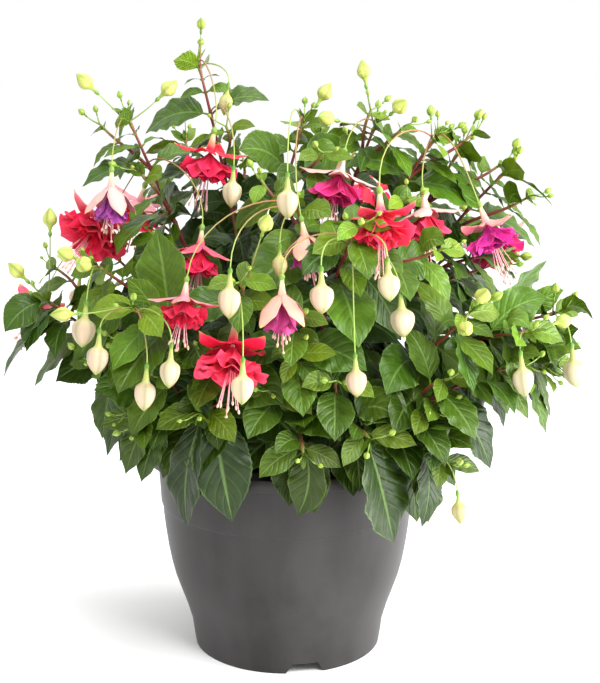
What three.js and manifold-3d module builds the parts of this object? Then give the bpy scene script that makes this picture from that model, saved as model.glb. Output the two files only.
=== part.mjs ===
// A double-flowered fuchsia growing in a plain dark moulded pot.
// Millimetres, +Z up, with the origin at the middle of the pot's foot, on the ground.
// The show side of the plant faces -Y, and +X is to its right.
import * as THREE from "three";
import { mergeVertices } from "three/addons/utils/BufferGeometryUtils.js";
import Module from "manifold-3d";

const wasm = await Module();
wasm.setup();
const { Manifold, Mesh: SolidMesh } = wasm;

const DEG = Math.PI / 180;
const UP = new THREE.Vector3(0, 0, 1);

// Pot.
const RIM_RADIUS = 125;
const POT_HEIGHT = 188;
const RIM_FACE = 10;
const RIM_SLOPE = 3;
const RIM_LEDGE = 12;
const WALL = 2.2;
const FOOT_RADIUS = 82;
const FLOOR_HEIGHT = 12;
const POT_SEGMENTS = 28;
const WALL_BENDS = 4;
const BAND_HEIGHT = 132;
const BAND_PROUD = 1.6;
const NOTCH_TURN = 11 * DEG;
const NOTCH_COUNT = 3;
const NOTCH_HEIGHT = 9;
const NOTCH_FOOT_HALF = 17;
const NOTCH_TOP_HALF = 11;
const DRAIN_COUNT = 4;
const DRAIN_RADIUS = 5;
const DRAIN_CIRCLE = 52;

// Compost, and the holes that the shoots stand in.
const COMPOST_TOP = 171;
const COMPOST_CROWN = 5;
const SHOOT_DEPTH = 24;
const CLEARANCE = 0.3;

// Shoots.
const SHOOT_RADIUS = 2.6;
const TIP_RADIUS = 1.2;
const SHOOT_SIDES = 4;
const SHOOT_BENDS = 6;
const FORK_BENDS = 4;
const FORK_RADIUS = 1.8;
const AXIL_RISE = 3;
const ROOT_SHARE = 0.34;
const ROOT_REACH = 82;
const RISE_SHARE = 0.36;
const PAIR_DISTANCES = [9, 48, 98, 158];
const PAIR_LENGTHS = [40, 72, 86, 90];
const PAIR_LOWEST = 205;
const SHOOT_BARE = 60;
const FORK_BARE = 18;

// Leaves.
const LEAF_WIDTH_SHARE = 0.56;
const LEAF_RIB = 1.3;
const PETIOLE_SHARE = 0.1;
const PETIOLE_HALF = 1;
const LEAF_YOUNG = 46;
const LIGHT_LEAN = 40;
const LIGHT_LIFT = 0.62;
const LEAF_TRIES = 7;
const LEAF_ROOM = 1.6;

// Pedicels and buds: how often a pedicel bends, and a bud's rings by share of its length and radius.
// Hanging ones grow from an axil about a drop above their pedicel's end.
const PEDICEL_RADIUS = 0.7;
const BUDS = {
  large: {
    bends: 2,
    sides: 4,
    length: 40,
    rings: [[0.06, 1.9], [0.44, 2.5], [0.6, 9], [0.8, 8.4]],
    hangs: true,
  },
  medium: { bends: 2, sides: 4, length: 28, rings: [[0.3, 1.7], [0.64, 6.2]], hangs: true },
  held: { bends: 2, sides: 4, length: 25, rings: [[0.3, 1.6], [0.62, 6.4]], hangs: false },
  small: { bends: 1, sides: 4, length: 15, rings: [[0.62, 3.8]], hangs: false },
};
const BLOOM_PEDICEL = { bends: 2, sides: 3 };
const HANG_DROP = 34;
const HOLD_RISE = 6;
const AXIL_TRIES = 12;

// Blooms.
const TUBE_RINGS = [[0, 1.2], [5, 2.6], [19.5, 4.2], [21, 3.4]];
const TUBE_SIDES = 4;
const TUBE_LENGTH = 21;
const SEPAL_LENGTH = 37;
const SEPAL_HALF = 7.6;
const SEPAL_RIB = 1.4;
const CORE_RADIUS = 4.6;
const CORE_LENGTH = 16;
const PETAL_LENGTH = 31;
const PETAL_HALF = 12;
const PETAL_THICKNESS = 1.1;
const OUTER_PETALS = 4;
const INNER_PETALS = 2;
const STYLE_LENGTH = 52;
const STAMEN_COUNT = 3;
const STAMEN_ROOT = 0.9;
const STAMEN_LENGTH = 44;

// The plant's shoots. Each has its tip, the pitch in degrees that it arrives at, and side shoots
// that fork off it, with the distance back from the tip at which they leave.
const SHOOTS = [
  { tip: [-75, 24, 510], pitch: 76, forks: [] },
  { tip: [-131, -20, 467], pitch: 68, forks: [{ tip: [-119, -52, 424], pitch: 40, back: 120 }] },
  { tip: [15, 8, 461], pitch: 66, forks: [] },
  { tip: [76, 0, 461], pitch: 66, forks: [] },
  { tip: [125, -22, 452], pitch: 54, forks: [] },
  { tip: [148, 12, 437], pitch: 58, forks: [] },
  { tip: [188, 8, 420], pitch: 44, forks: [{ tip: [182, -14, 350], pitch: 4, back: 130 }] },
  { tip: [229, -48, 308], pitch: 14, forks: [{ tip: [192, -108, 303], pitch: 8, back: 100 }] },
  { tip: [146, -115, 323], pitch: 52, forks: [] },
  { tip: [-203, -40, 318], pitch: 42, forks: [] },
  { tip: [-152, -86, 354], pitch: 34, forks: [] },
  { tip: [-116, -151, 332], pitch: 23, forks: [] },
  { tip: [51, -127, 384], pitch: 50, forks: [{ tip: [10, -92, 404], pitch: 60, back: 100 }] },
  { tip: [130, -124, 199], pitch: -24, forks: [{ tip: [124, -118, 250], pitch: 2, back: 85 }] },
  { tip: [14, -152, 216], pitch: -38, forks: [{ tip: [8, -148, 296], pitch: 16, back: 110 }] },
  { tip: [-66, -142, 246], pitch: -14, forks: [{ tip: [-118, -118, 232], pitch: -20, back: 85 }] },
  { tip: [66, -144, 226], pitch: -26, forks: [] },
  { tip: [-39, -117, 334], pitch: 46, forks: [] },
  { tip: [-172, 92, 344], pitch: 36, forks: [{ tip: [-92, 96, 436], pitch: 64, back: 150 }] },
  { tip: [-66, 184, 324], pitch: 18, forks: [{ tip: [-120, 150, 262], pitch: -12, back: 100 }] },
  { tip: [74, 178, 318], pitch: 16, forks: [{ tip: [30, 118, 440], pitch: 66, back: 160 }] },
  { tip: [176, 118, 352], pitch: 30, forks: [{ tip: [152, 142, 256], pitch: -14, back: 110 }] },
];

// Buds: the form, and the end of the pedicel that each is carried on.
const BUD_PLACES = [
  ["small", -71, 10, 531],
  ["medium", -48, 2, 492],
  ["held", -152, -30, 484],
  ["held", -107, -22, 478],
  ["held", 24, 12, 470],
  ["held", 44, -26, 462],
  ["held", 67, 2, 486],
  ["held", 85, -16, 466],
  ["small", 120, -12, 461],
  ["small", 157, 6, 457],
  ["small", 189, -2, 434],
  ["small", 192, -24, 350],
  ["small", 220, -56, 322],
  ["held", 212, -84, 304],
  ["held", 147, -128, 330],
  ["small", 158, -118, 330],
  ["held", 139, -134, 316],
  ["held", -212, -42, 330],
  ["held", -197, -24, 366],
  ["held", -162, -104, 361],
  ["held", -152, -116, 358],
  ["held", -153, -152, 328],
  ["held", -18, -152, 386],
  ["large", -41, -74, 432],
  ["large", 2, -137, 434],
  ["large", 27, -174, 369],
  ["large", 76, -170, 375],
  ["large", -84, -180, 312],
  ["large", -104, -166, 293],
  ["large", -140, -156, 318],
  ["large", -154, -124, 333],
  ["large", -40, -176, 368],
  ["medium", -4, -132, 379],
  ["large", 183, -126, 294],
  ["large", 231, -80, 289],
  ["medium", 135, -141, 184],
  ["large", 53, -162, 300],
  ["large", 88, -138, 344],
  ["large", -30, -208, 308],
  ["small", -166, 98, 362],
  ["large", -186, 66, 318],
  ["small", -92, 98, 456],
  ["large", -96, 176, 300],
  ["held", -50, 186, 336],
  ["large", 30, 196, 302],
  ["large", 136, 156, 316],
  ["held", 168, 132, 360],
];

// Blooms: where the ovary meets its pedicel, the turn round +Z and the tilt from straight down
// of the way it faces, how far it is open, its size and its spin.
const BLOOM_PLACES = [
  { at: [-142, -20, 394], turn: 235, tilt: 55, open: 1, size: 1.08, spin: 20 },
  { at: [-58, -30, 458], turn: 200, tilt: 12, open: 1, size: 0.95, spin: 10 },
  { at: [-38, -140, 324], turn: 262, tilt: 30, open: 0.9, size: 1.12, spin: 40 },
  { at: [48, -50, 443], turn: 215, tilt: 16, open: 0.8, size: 0.95, spin: 0 },
  { at: [72, -122, 421], turn: 275, tilt: 22, open: 0.95, size: 1, spin: 30 },
  { at: [110, -60, 413], turn: 300, tilt: 14, open: 0.7, size: 0.86, spin: 15 },
  { at: [156, -50, 400], turn: 330, tilt: 24, open: 0.9, size: 0.9, spin: 55 },
  { at: [-66, -82, 386], turn: 245, tilt: 14, open: 0.6, size: 0.85, spin: 25 },
  { at: [-74, -146, 356], turn: 250, tilt: 20, open: 0.8, size: 0.8, spin: 5 },
  { at: [-2, -166, 362], turn: 270, tilt: 2, open: 0.25, size: 0.85, spin: 45 },
  { at: [12, -112, 397], turn: 320, tilt: 14, open: 0.35, size: 0.8, spin: 20 },
  { at: [-138, -72, 431], turn: 250, tilt: 6, open: 0.25, size: 0.84, spin: 60 },
  { at: [-128, 96, 398], turn: 140, tilt: 22, open: 0.9, size: 1, spin: 35 },
  { at: [68, 132, 408], turn: 70, tilt: 20, open: 1, size: 1, spin: 5 },
  { at: [-24, 176, 340], turn: 95, tilt: 26, open: 0.8, size: 1, spin: 50 },
  { at: [176, 72, 372], turn: 20, tilt: 24, open: 0.9, size: 1, spin: 15 },
  { at: [-204, 16, 322], turn: 175, tilt: 26, open: 0.9, size: 0.95, spin: 30 },
];

// Seeded draws between two values, the same on every run.
function draws(seed) {
  let state = seed >>> 0;
  return (low, high) => {
    state = (state + 0x6d2b79f5) >>> 0;
    let t = state;
    t = Math.imul(t ^ (t >>> 15), t | 1);
    t ^= t + Math.imul(t ^ (t >>> 7), t | 61);
    return low + ((high - low) * ((t ^ (t >>> 14)) >>> 0)) / 4294967296;
  };
}

// A closed surface through rings of points, with a flat cap or a point at each end.
function loft(rings) {
  const points = rings.flat();
  const faces = [];
  let start = 0;
  const fan = (ring, first, turned) => {
    for (let i = 1; i + 1 < ring.length; i++)
      faces.push(turned ? [first, first + i, first + i + 1] : [first, first + i + 1, first + i]);
  };
  rings.forEach((ring, k) => {
    const next = rings[k + 1];
    if (k === 0) fan(ring, 0, false);
    if (!next) {
      fan(ring, start, true);
      return;
    }
    const sides = Math.max(ring.length, next.length);
    for (let i = 0; i < sides; i++) {
      const j = (i + 1) % sides;
      const a = start + (ring.length === 1 ? 0 : i);
      const b = start + (ring.length === 1 ? 0 : j);
      const c = start + ring.length + (next.length === 1 ? 0 : j);
      const d = start + ring.length + (next.length === 1 ? 0 : i);
      if (a !== b) faces.push([a, b, c]);
      if (c !== d) faces.push([a, c, d]);
    }
    start += ring.length;
  });
  return surface(points, faces);
}

// A three.js geometry from points and triangles.
function surface(points, faces) {
  const geometry = new THREE.BufferGeometry();
  geometry.setAttribute("position", new THREE.Float32BufferAttribute(points.flatMap((p) => p.toArray()), 3));
  geometry.setIndex(faces.flat());
  return geometry;
}

// A thin blade: an outline round inner points, with the same triangles on both faces.
function blade(outline, inner, normal, thickness, faces) {
  const half = normal.clone().multiplyScalar(thickness / 2);
  const upper = inner.map((p) => p.clone().add(half));
  const lower = inner.map((p) => p.clone().sub(half));
  const rim = outline.length;
  const under = (i) => (i < rim ? i : i + inner.length);
  const below = faces.map(([a, b, c]) => [under(a), under(c), under(b)]);
  return surface([...outline, ...upper, ...lower], [...faces, ...below]);
}

// The solid of a closed geometry, turned outside out if its faces point inwards.
function solidOf(geometry) {
  const bare = geometry.index ? geometry.toNonIndexed() : geometry.clone();
  bare.deleteAttribute("normal");
  bare.deleteAttribute("uv");
  const merged = mergeVertices(bare, 1e-4);
  const corner = merged.index.array;
  const kept = [];
  for (let i = 0; i < corner.length; i += 3) {
    const [a, b, c] = [corner[i], corner[i + 1], corner[i + 2]];
    if (a !== b && b !== c && c !== a) kept.push(a, b, c);
  }
  const vertProperties = merged.attributes.position.array;
  const made = new Manifold(new SolidMesh({ numProp: 3, vertProperties, triVerts: new Uint32Array(kept) }));
  if (made.volume() > 0) return made;
  for (let i = 0; i < kept.length; i += 3) [kept[i + 1], kept[i + 2]] = [kept[i + 2], kept[i + 1]];
  return new Manifold(new SolidMesh({ numProp: 3, vertProperties, triVerts: new Uint32Array(kept) }));
}

// A named mesh of a solid.
function meshOf(name, solid, material) {
  const made = solid.getMesh();
  const geometry = new THREE.BufferGeometry();
  geometry.setAttribute("position", new THREE.BufferAttribute(made.vertProperties, 3));
  geometry.setIndex(new THREE.BufferAttribute(made.triVerts, 1));
  const mesh = new THREE.Mesh(geometry, material);
  mesh.name = name;
  return mesh;
}

// A ring of points of a tube's section.
function ring(centre, across, over, radius, sides) {
  return Array.from({ length: sides }, (_, i) => {
    const turn = (2 * Math.PI * i) / sides;
    return centre
      .clone()
      .addScaledVector(across, radius * Math.cos(turn))
      .addScaledVector(over, radius * Math.sin(turn));
  });
}

// A direction made square to another.
function squared(direction, to) {
  return direction.clone().addScaledVector(to, -direction.dot(to)).normalize();
}

// Two directions square to a third.
function squareTo(direction) {
  const helper = Math.abs(direction.z) < 0.9 ? UP : new THREE.Vector3(1, 0, 0);
  const across = new THREE.Vector3().crossVectors(helper, direction).normalize();
  return [across, new THREE.Vector3().crossVectors(direction, across).normalize()];
}

const materials = {
  pot: new THREE.MeshStandardMaterial({ color: 0x55524f, roughness: 0.62, metalness: 0 }),
  compost: new THREE.MeshStandardMaterial({ color: 0x2a1d14, roughness: 0.95, metalness: 0 }),
  shoot: new THREE.MeshStandardMaterial({ color: 0x4c7a33, roughness: 0.5, metalness: 0 }),
  sepals: new THREE.MeshStandardMaterial({ color: 0xf3b9b6, roughness: 0.45, metalness: 0 }),
  corolla: new THREE.MeshStandardMaterial({ color: 0xdc1f48, roughness: 0.5, metalness: 0 }),
};

// The bell of the pot's wall outside, from the foot up to the band under the rim.
const flare = new THREE.SplineCurve([
  new THREE.Vector2(FOOT_RADIUS, 0),
  new THREE.Vector2(FOOT_RADIUS + 3, 22),
  new THREE.Vector2(FOOT_RADIUS + 14, 56),
  new THREE.Vector2(FOOT_RADIUS + 23, 92),
  new THREE.Vector2(FOOT_RADIUS + 27, BAND_HEIGHT - 4),
]);

// The pot: a thin bell-shaped wall under an overhanging rim, with a raised floor and a notched foot.
function potSolid() {
  const ledge = RIM_RADIUS - RIM_LEDGE;
  const rimFoot = POT_HEIGHT - RIM_SLOPE - RIM_FACE;
  const wall = flare.getPoints(WALL_BENDS);
  const outer = [
    ...wall,
    new THREE.Vector2(FOOT_RADIUS + 27 + BAND_PROUD, BAND_HEIGHT),
    new THREE.Vector2(ledge, rimFoot),
    new THREE.Vector2(RIM_RADIUS, rimFoot - 1),
    new THREE.Vector2(RIM_RADIUS, POT_HEIGHT - RIM_SLOPE),
    new THREE.Vector2(ledge, POT_HEIGHT),
  ];
  const inner = wall
    .reverse()
    .map((p) => new THREE.Vector2(p.x - WALL, p.y))
    .filter((p) => p.y > FLOOR_HEIGHT + 6);
  const profile = [
    ...outer,
    new THREE.Vector2(ledge - WALL, POT_HEIGHT - 1),
    ...inner,
    new THREE.Vector2(FOOT_RADIUS - WALL, FLOOR_HEIGHT + WALL),
    new THREE.Vector2(0, FLOOR_HEIGHT + WALL),
    new THREE.Vector2(0, FLOOR_HEIGHT),
    new THREE.Vector2(FOOT_RADIUS - WALL, FLOOR_HEIGHT),
    new THREE.Vector2(FOOT_RADIUS - WALL, 0),
    new THREE.Vector2(FOOT_RADIUS, 0),
  ];
  let pot = solidOf(new THREE.LatheGeometry(profile, POT_SEGMENTS).rotateX(Math.PI / 2));
  for (let k = 0; k < NOTCH_COUNT; k++) {
    pot = pot.subtract(notchSolid(NOTCH_TURN + (k * 2 * Math.PI) / NOTCH_COUNT));
  }
  for (let k = 0; k < DRAIN_COUNT; k++) {
    pot = pot.subtract(drainSolid(((k + 0.5) * 2 * Math.PI) / DRAIN_COUNT));
  }
  return pot;
}

// A trapezoid notch through the foot's skirt, turned from the front of the pot.
function notchSolid(turn) {
  const outline = new THREE.Shape([
    new THREE.Vector2(-NOTCH_FOOT_HALF, -1),
    new THREE.Vector2(NOTCH_FOOT_HALF, -1),
    new THREE.Vector2(NOTCH_TOP_HALF, NOTCH_HEIGHT),
    new THREE.Vector2(-NOTCH_TOP_HALF, NOTCH_HEIGHT),
  ]);
  const reach = 30;
  const notch = new THREE.ExtrudeGeometry(outline, { depth: reach, bevelEnabled: false });
  notch.rotateX(Math.PI / 2);
  notch.translate(0, -FOOT_RADIUS + reach / 2, 0);
  notch.rotateZ(turn);
  return solidOf(notch);
}

// A drain hole in the floor.
function drainSolid(turn) {
  const drain = new THREE.CylinderGeometry(DRAIN_RADIUS, DRAIN_RADIUS, 20, 6).rotateX(Math.PI / 2);
  drain.translate(DRAIN_CIRCLE * Math.cos(turn), DRAIN_CIRCLE * Math.sin(turn), FLOOR_HEIGHT);
  return solidOf(drain);
}

// Compost that fills the pot, gently crowned, with a plain hole for each shoot.
function compostSolid(shoots) {
  const inset = WALL + 4 * CLEARANCE;
  const wall = flare.getPoints(WALL_BENDS).filter((p) => p.y > FLOOR_HEIGHT + 6);
  const floor = FLOOR_HEIGHT + WALL + CLEARANCE;
  const profile = [
    new THREE.Vector2(0, floor),
    new THREE.Vector2(FOOT_RADIUS - inset, floor),
    ...wall.map((p) => new THREE.Vector2(p.x - inset, p.y)),
    new THREE.Vector2(RIM_RADIUS - RIM_LEDGE - inset - 2, COMPOST_TOP - COMPOST_CROWN),
    new THREE.Vector2(0, COMPOST_TOP),
  ];
  let compost = solidOf(new THREE.LatheGeometry(profile, POT_SEGMENTS).rotateX(Math.PI / 2));
  const holeRadius = (SHOOT_RADIUS + CLEARANCE) * Math.SQRT2;
  for (const { root } of shoots) {
    const hole = new THREE.CylinderGeometry(holeRadius, holeRadius, 80, 4).rotateX(Math.PI / 2);
    hole.translate(root.x, root.y, root.z + 40 - CLEARANCE);
    compost = compost.subtract(solidOf(hole));
  }
  return compost;
}

// A stem's route: its points from foot to tip, and how far each lies back from the tip.
function routeOf(points, footRadius) {
  const back = new Array(points.length).fill(0);
  for (let i = points.length - 2; i >= 0; i--) back[i] = back[i + 1] + points[i].distanceTo(points[i + 1]);
  const chord = points[points.length - 1].clone().sub(points[0]);
  const level = new THREE.Vector3(-chord.y, chord.x, 0).normalize();
  return { points, back, level, footRadius };
}

// The stem's radius at a distance back from its tip.
function radiusOn(route, distance) {
  return THREE.MathUtils.lerp(TIP_RADIUS, route.footRadius, distance / route.back[0]);
}

// The place on a route at a distance back from its tip, and the way it heads there.
function placeOn(route, distance) {
  const { points, back } = route;
  let i = points.length - 2;
  while (i > 0 && back[i] < distance) i--;
  const share = (back[i] - distance) / (back[i] - back[i + 1]);
  const at = points[i].clone().lerp(points[i + 1], share);
  const heading = points[i + 1].clone().sub(points[i]).normalize();
  return { at, heading, level: squared(route.level, heading), radius: radiusOn(route, distance) };
}

// The way that a tip points: out from the pot's axis at its pitch.
function arrival(tip, pitch) {
  const out = new THREE.Vector3(tip.x, tip.y, 0).normalize();
  return out.multiplyScalar(Math.cos(pitch * DEG)).addScaledVector(UP, Math.sin(pitch * DEG));
}

// A shoot rises from the compost, then bends over to its tip.
function shootRoute(tip, pitch) {
  const root = new THREE.Vector3(tip.x, tip.y, 0).multiplyScalar(ROOT_SHARE);
  root.clampLength(0, ROOT_REACH).setZ(COMPOST_TOP - SHOOT_DEPTH);
  const collar = root.clone().setZ(COMPOST_TOP + 4);
  const span = collar.distanceTo(tip);
  const rise = collar.clone().addScaledVector(UP, RISE_SHARE * span);
  const before = tip.clone().addScaledVector(arrival(tip, pitch), -RISE_SHARE * span);
  const bend = new THREE.CubicBezierCurve3(collar, rise, before, tip);
  return routeOf([root, ...bend.getPoints(SHOOT_BENDS)], SHOOT_RADIUS);
}

// A side shoot leaves its shoot a little off its heading.
function forkRoute(parent, fork) {
  const tip = new THREE.Vector3(...fork.tip);
  const { at, heading } = placeOn(parent, fork.back);
  const span = at.distanceTo(tip);
  const leave = heading.clone().addScaledVector(tip.clone().sub(at).normalize(), 1.2).normalize();
  const first = at.clone().addScaledVector(leave, RISE_SHARE * span);
  const before = tip.clone().addScaledVector(arrival(tip, fork.pitch), -RISE_SHARE * span);
  return routeOf(new THREE.CubicBezierCurve3(at, first, before, tip).getPoints(FORK_BENDS), FORK_RADIUS);
}

// The places of the leaf pairs on a route, from the tip down.
function pairsOn(route, bare) {
  const pairs = [];
  PAIR_DISTANCES.forEach((distance, rank) => {
    if (distance > route.back[0] - bare) return;
    const spot = placeOn(route, distance);
    if (rank && spot.at.z < PAIR_LOWEST) return;
    pairs.push({ ...spot, route, distance, rank, carried: 0 });
  });
  return pairs;
}

// The stem of a route: a tapered tube of straight lengths.
function stemSolid(route) {
  const radii = route.back.map((distance) => radiusOn(route, distance));
  return solidOf(loft(tubeRings(route.points, radii, SHOOT_SIDES, route.level, 45 * DEG)));
}

// The rings of a tube through points, with the radius of each, and its sides turned from a level
// direction. A tip closes it in a point.
function tubeRings(points, radii, sides, level, turn, tip = null) {
  const rings = points.map((point, k) => {
    const before = points[Math.max(0, k - 1)];
    const after = points[Math.min(points.length - 1, k + 1)];
    const heading = after.clone().sub(before).normalize();
    const across = squared(level, heading);
    const over = new THREE.Vector3().crossVectors(heading, across);
    [across, over].forEach((direction) => direction.applyAxisAngle(heading, turn));
    return ring(point, across, over, radii[k], sides);
  });
  return tip ? [...rings, tip] : rings;
}

// One leaf of a pair: its draws set how far it is turned, how it droops and how it waves.
function leafOf(seed, pair, side, attempt) {
  const draw = draws(seed * 31 + attempt * 7919);
  const { heading, level, rank, radius } = pair;
  const turn = (rank * 90 + side * 180 + draw(-14, 14) + attempt * draw(-22, 22)) * DEG;
  const out = level.clone().applyAxisAngle(heading, turn);
  const at = pair.at;
  const root = at.clone().addScaledVector(out, -0.3 * radius);
  const spread = draw(52, 72) * DEG;
  const start = heading.clone().multiplyScalar(Math.cos(spread)).addScaledVector(out, Math.sin(spread));
  const droop = draw(0.5, 1) + 0.28 * rank;
  const end = start.clone().addScaledVector(UP, -droop).normalize();
  const length = PAIR_LENGTHS[rank] * draw(0.86, 1.14) * (1 - 0.05 * attempt);
  const light = new THREE.Vector3(at.x, at.y - LIGHT_LEAN, 0).normalize().addScaledVector(UP, LIGHT_LIFT);
  return { root, at, start, end, length, light, wave: draw(-1, 1) };
}

// The section of a leaf at a share of its length: middle, way across and way up.
function leafSection(leaf, share) {
  const half = leaf.length / 2;
  const knee = leaf.at.clone().addScaledVector(leaf.start, half);
  const tip = knee.clone().addScaledVector(leaf.end, half);
  const rib = new THREE.QuadraticBezierCurve3(leaf.at, knee, tip);
  const heading = rib.getTangent(share);
  const level = tip.clone().sub(leaf.at).cross(leaf.light);
  const across = squared(level, heading);
  return { middle: rib.getPoint(share), across, over: new THREE.Vector3().crossVectors(across, heading) };
}

// A leaf's solid: a petiole that is pointed in the stem, then a waved blade with a rib under it.
// Room makes it that much fatter all round, from the petiole's end on.
function leafSolid(leaf, room) {
  const bladeHalf = (LEAF_WIDTH_SHARE * leaf.length) / 2;
  const stations = [
    [PETIOLE_SHARE, PETIOLE_HALF, 0],
    [0.37, bladeHalf, 0.08 * bladeHalf],
    [0.69, bladeHalf * 0.76, -0.12 * bladeHalf],
  ];
  if (leaf.length < LEAF_YOUNG) stations.pop();
  const rings = stations.map(([share, half, lift]) => {
    const { middle, across, over } = leafSection(leaf, share);
    const wide = half + room;
    const wave = lift * leaf.wave;
    return [
      middle.clone().addScaledVector(across, wide).addScaledVector(over, room + wave),
      middle.clone().addScaledVector(over, -LEAF_RIB - room),
      middle.clone().addScaledVector(across, -wide).addScaledVector(over, room - wave),
    ];
  });
  if (!room) rings.unshift([leaf.root]);
  rings.push([leafSection(leaf, 1).middle.addScaledVector(leaf.end, room)]);
  return solidOf(loft(rings));
}

// The route of a pedicel that leaves its axil outwards and arrives along an axis.
function pedicelPoints(from, to, axis, bends) {
  const span = from.distanceTo(to);
  const start = to.clone().sub(from).setZ(0).multiplyScalar(0.3).addScaledVector(UP, 0.16 * span);
  const before = to.clone().addScaledVector(axis, -0.4 * span);
  return new THREE.CubicBezierCurve3(from, from.clone().add(start), before, to).getPoints(bends);
}

// A pedicel, with a bud's rings and point after its end if it carries one.
function pedicelSolid(from, to, axis, { bends, sides, length = 0, rings = [] }) {
  const points = pedicelPoints(from, to, axis, bends);
  const radii = points.map(() => PEDICEL_RADIUS);
  for (const [share, radius] of rings) {
    points.push(to.clone().addScaledVector(axis, share * length));
    radii.push(radius);
  }
  const level = new THREE.Vector3(from.y - to.y, to.x - from.x, 0.01);
  const tip = length ? [to.clone().addScaledVector(axis, length)] : null;
  return solidOf(loft(tubeRings(points, radii, sides, level, 90 * DEG, tip)));
}

// The way that a bloom faces, as its axis and two directions square to it.
function bloomFrame({ at, turn, tilt, size }) {
  const down = new THREE.Vector3(Math.sin(tilt * DEG), 0, -Math.cos(tilt * DEG));
  const axis = down.applyAxisAngle(UP, turn * DEG);
  const [across, over] = squareTo(axis);
  return { at: new THREE.Vector3(...at), axis, across, over, size };
}

// A point of a bloom by its distance down the axis, out from it and round it.
function bloomPoint(frame, down, out, turn) {
  return frame.at
    .clone()
    .addScaledVector(frame.axis, down * frame.size)
    .addScaledVector(frame.across, out * frame.size * Math.cos(turn))
    .addScaledVector(frame.over, out * frame.size * Math.sin(turn));
}

// A ring of points round a bloom's axis.
function bloomRing(frame, down, out, turn) {
  const step = (2 * Math.PI) / TUBE_SIDES;
  return Array.from({ length: TUBE_SIDES }, (_, i) => bloomPoint(frame, down, out, turn + i * step));
}

// The profile of a sepal or petal: it leaves the tube at one angle to the axis and ends at another.
function flarePoint(down, out, length, first, last, share) {
  const foot = new THREE.Vector2(down, out);
  const knee = foot.clone().add(new THREE.Vector2(length / 2, 0).rotateAround(new THREE.Vector2(), first));
  const tip = knee.clone().add(new THREE.Vector2(length / 2, 0).rotateAround(new THREE.Vector2(), last));
  return new THREE.QuadraticBezierCurve(foot, knee, tip).getPoint(share);
}

// Ovary, tube and four sepals of a bloom. Each sepal grows from one side of the tube's mouth.
function sepalsSolid(bloom) {
  const frame = bloomFrame(bloom);
  const spin = bloom.spin * DEG;
  const first = THREE.MathUtils.lerp(38, 60, bloom.open) * DEG;
  const last = THREE.MathUtils.lerp(16, 116, bloom.open) * DEG;
  const points = TUBE_RINGS.flatMap(([down, out]) => bloomRing(frame, down, out, spin - 45 * DEG));
  const faces = [[0, 2, 1], [0, 3, 2]];
  const mouth = points.length - 2 * TUBE_SIDES;
  const inside = mouth + TUBE_SIDES;
  for (let k = 0; k < TUBE_SIDES; k++) {
    const next = (k + 1) % TUBE_SIDES;
    for (let low = 0; low < mouth; low += TUBE_SIDES) {
      const high = low + TUBE_SIDES;
      faces.push([low + k, low + next, high + next], [low + k, high + next, high + k]);
    }
    const turn = spin + 90 * k * DEG;
    const wide = flarePoint(TUBE_LENGTH - 1, 3, SEPAL_LENGTH, first, last, 0.46);
    const end = flarePoint(TUBE_LENGTH - 1, 3, SEPAL_LENGTH, first, last, 1);
    const swing = Math.atan2(SEPAL_HALF, wide.y);
    const reach = Math.hypot(SEPAL_HALF, wide.y);
    const [left, right, rib, tip] = [0, 1, 2, 3].map((i) => points.length + i);
    points.push(
      bloomPoint(frame, wide.x, reach, turn - swing),
      bloomPoint(frame, wide.x, reach, turn + swing),
      bloomPoint(frame, wide.x - SEPAL_RIB, wide.y + SEPAL_RIB, turn),
      bloomPoint(frame, end.x, end.y, turn),
    );
    const [a, b, c, d] = [mouth + k, mouth + next, inside + next, inside + k];
    faces.push([a, b, rib], [b, right, rib], [right, tip, rib], [tip, left, rib], [left, a, rib]);
    faces.push([c, d, left], [c, left, right], [right, left, tip], [a, left, d], [right, b, c]);
  }
  faces.push([inside, inside + 1, inside + 2], [inside, inside + 2, inside + 3]);
  return solidOf(surface(points, faces));
}

// A petal: a waved blade from the core to its rim.
function petalSolid(frame, turn, length, half, first, last, ruffle) {
  const point = (share, side, lift) => {
    const profile = flarePoint(TUBE_LENGTH + 2, 1.4, length, first, last, share);
    const swing = Math.atan2(side, Math.max(profile.y, 3));
    return bloomPoint(frame, profile.x + lift, Math.hypot(profile.y, side), turn + swing);
  };
  const outline = [
    point(0, 0, 0),
    point(0.55, -half * 0.86, 0),
    point(0.95, -half * 0.8, ruffle),
    point(1, 0, -ruffle),
    point(0.95, half * 0.8, ruffle),
    point(0.55, half * 0.86, 0),
  ];
  const inner = [point(0.62, 0, 0)];
  const out = bloomPoint(frame, 0, 1, turn).sub(frame.at).normalize();
  const normal = out.addScaledVector(frame.axis, -0.5).normalize();
  const faces = outline.map((_, i) => [i, (i + 1) % outline.length, outline.length]);
  return solidOf(blade(outline, inner, normal, PETAL_THICKNESS, faces));
}

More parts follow.
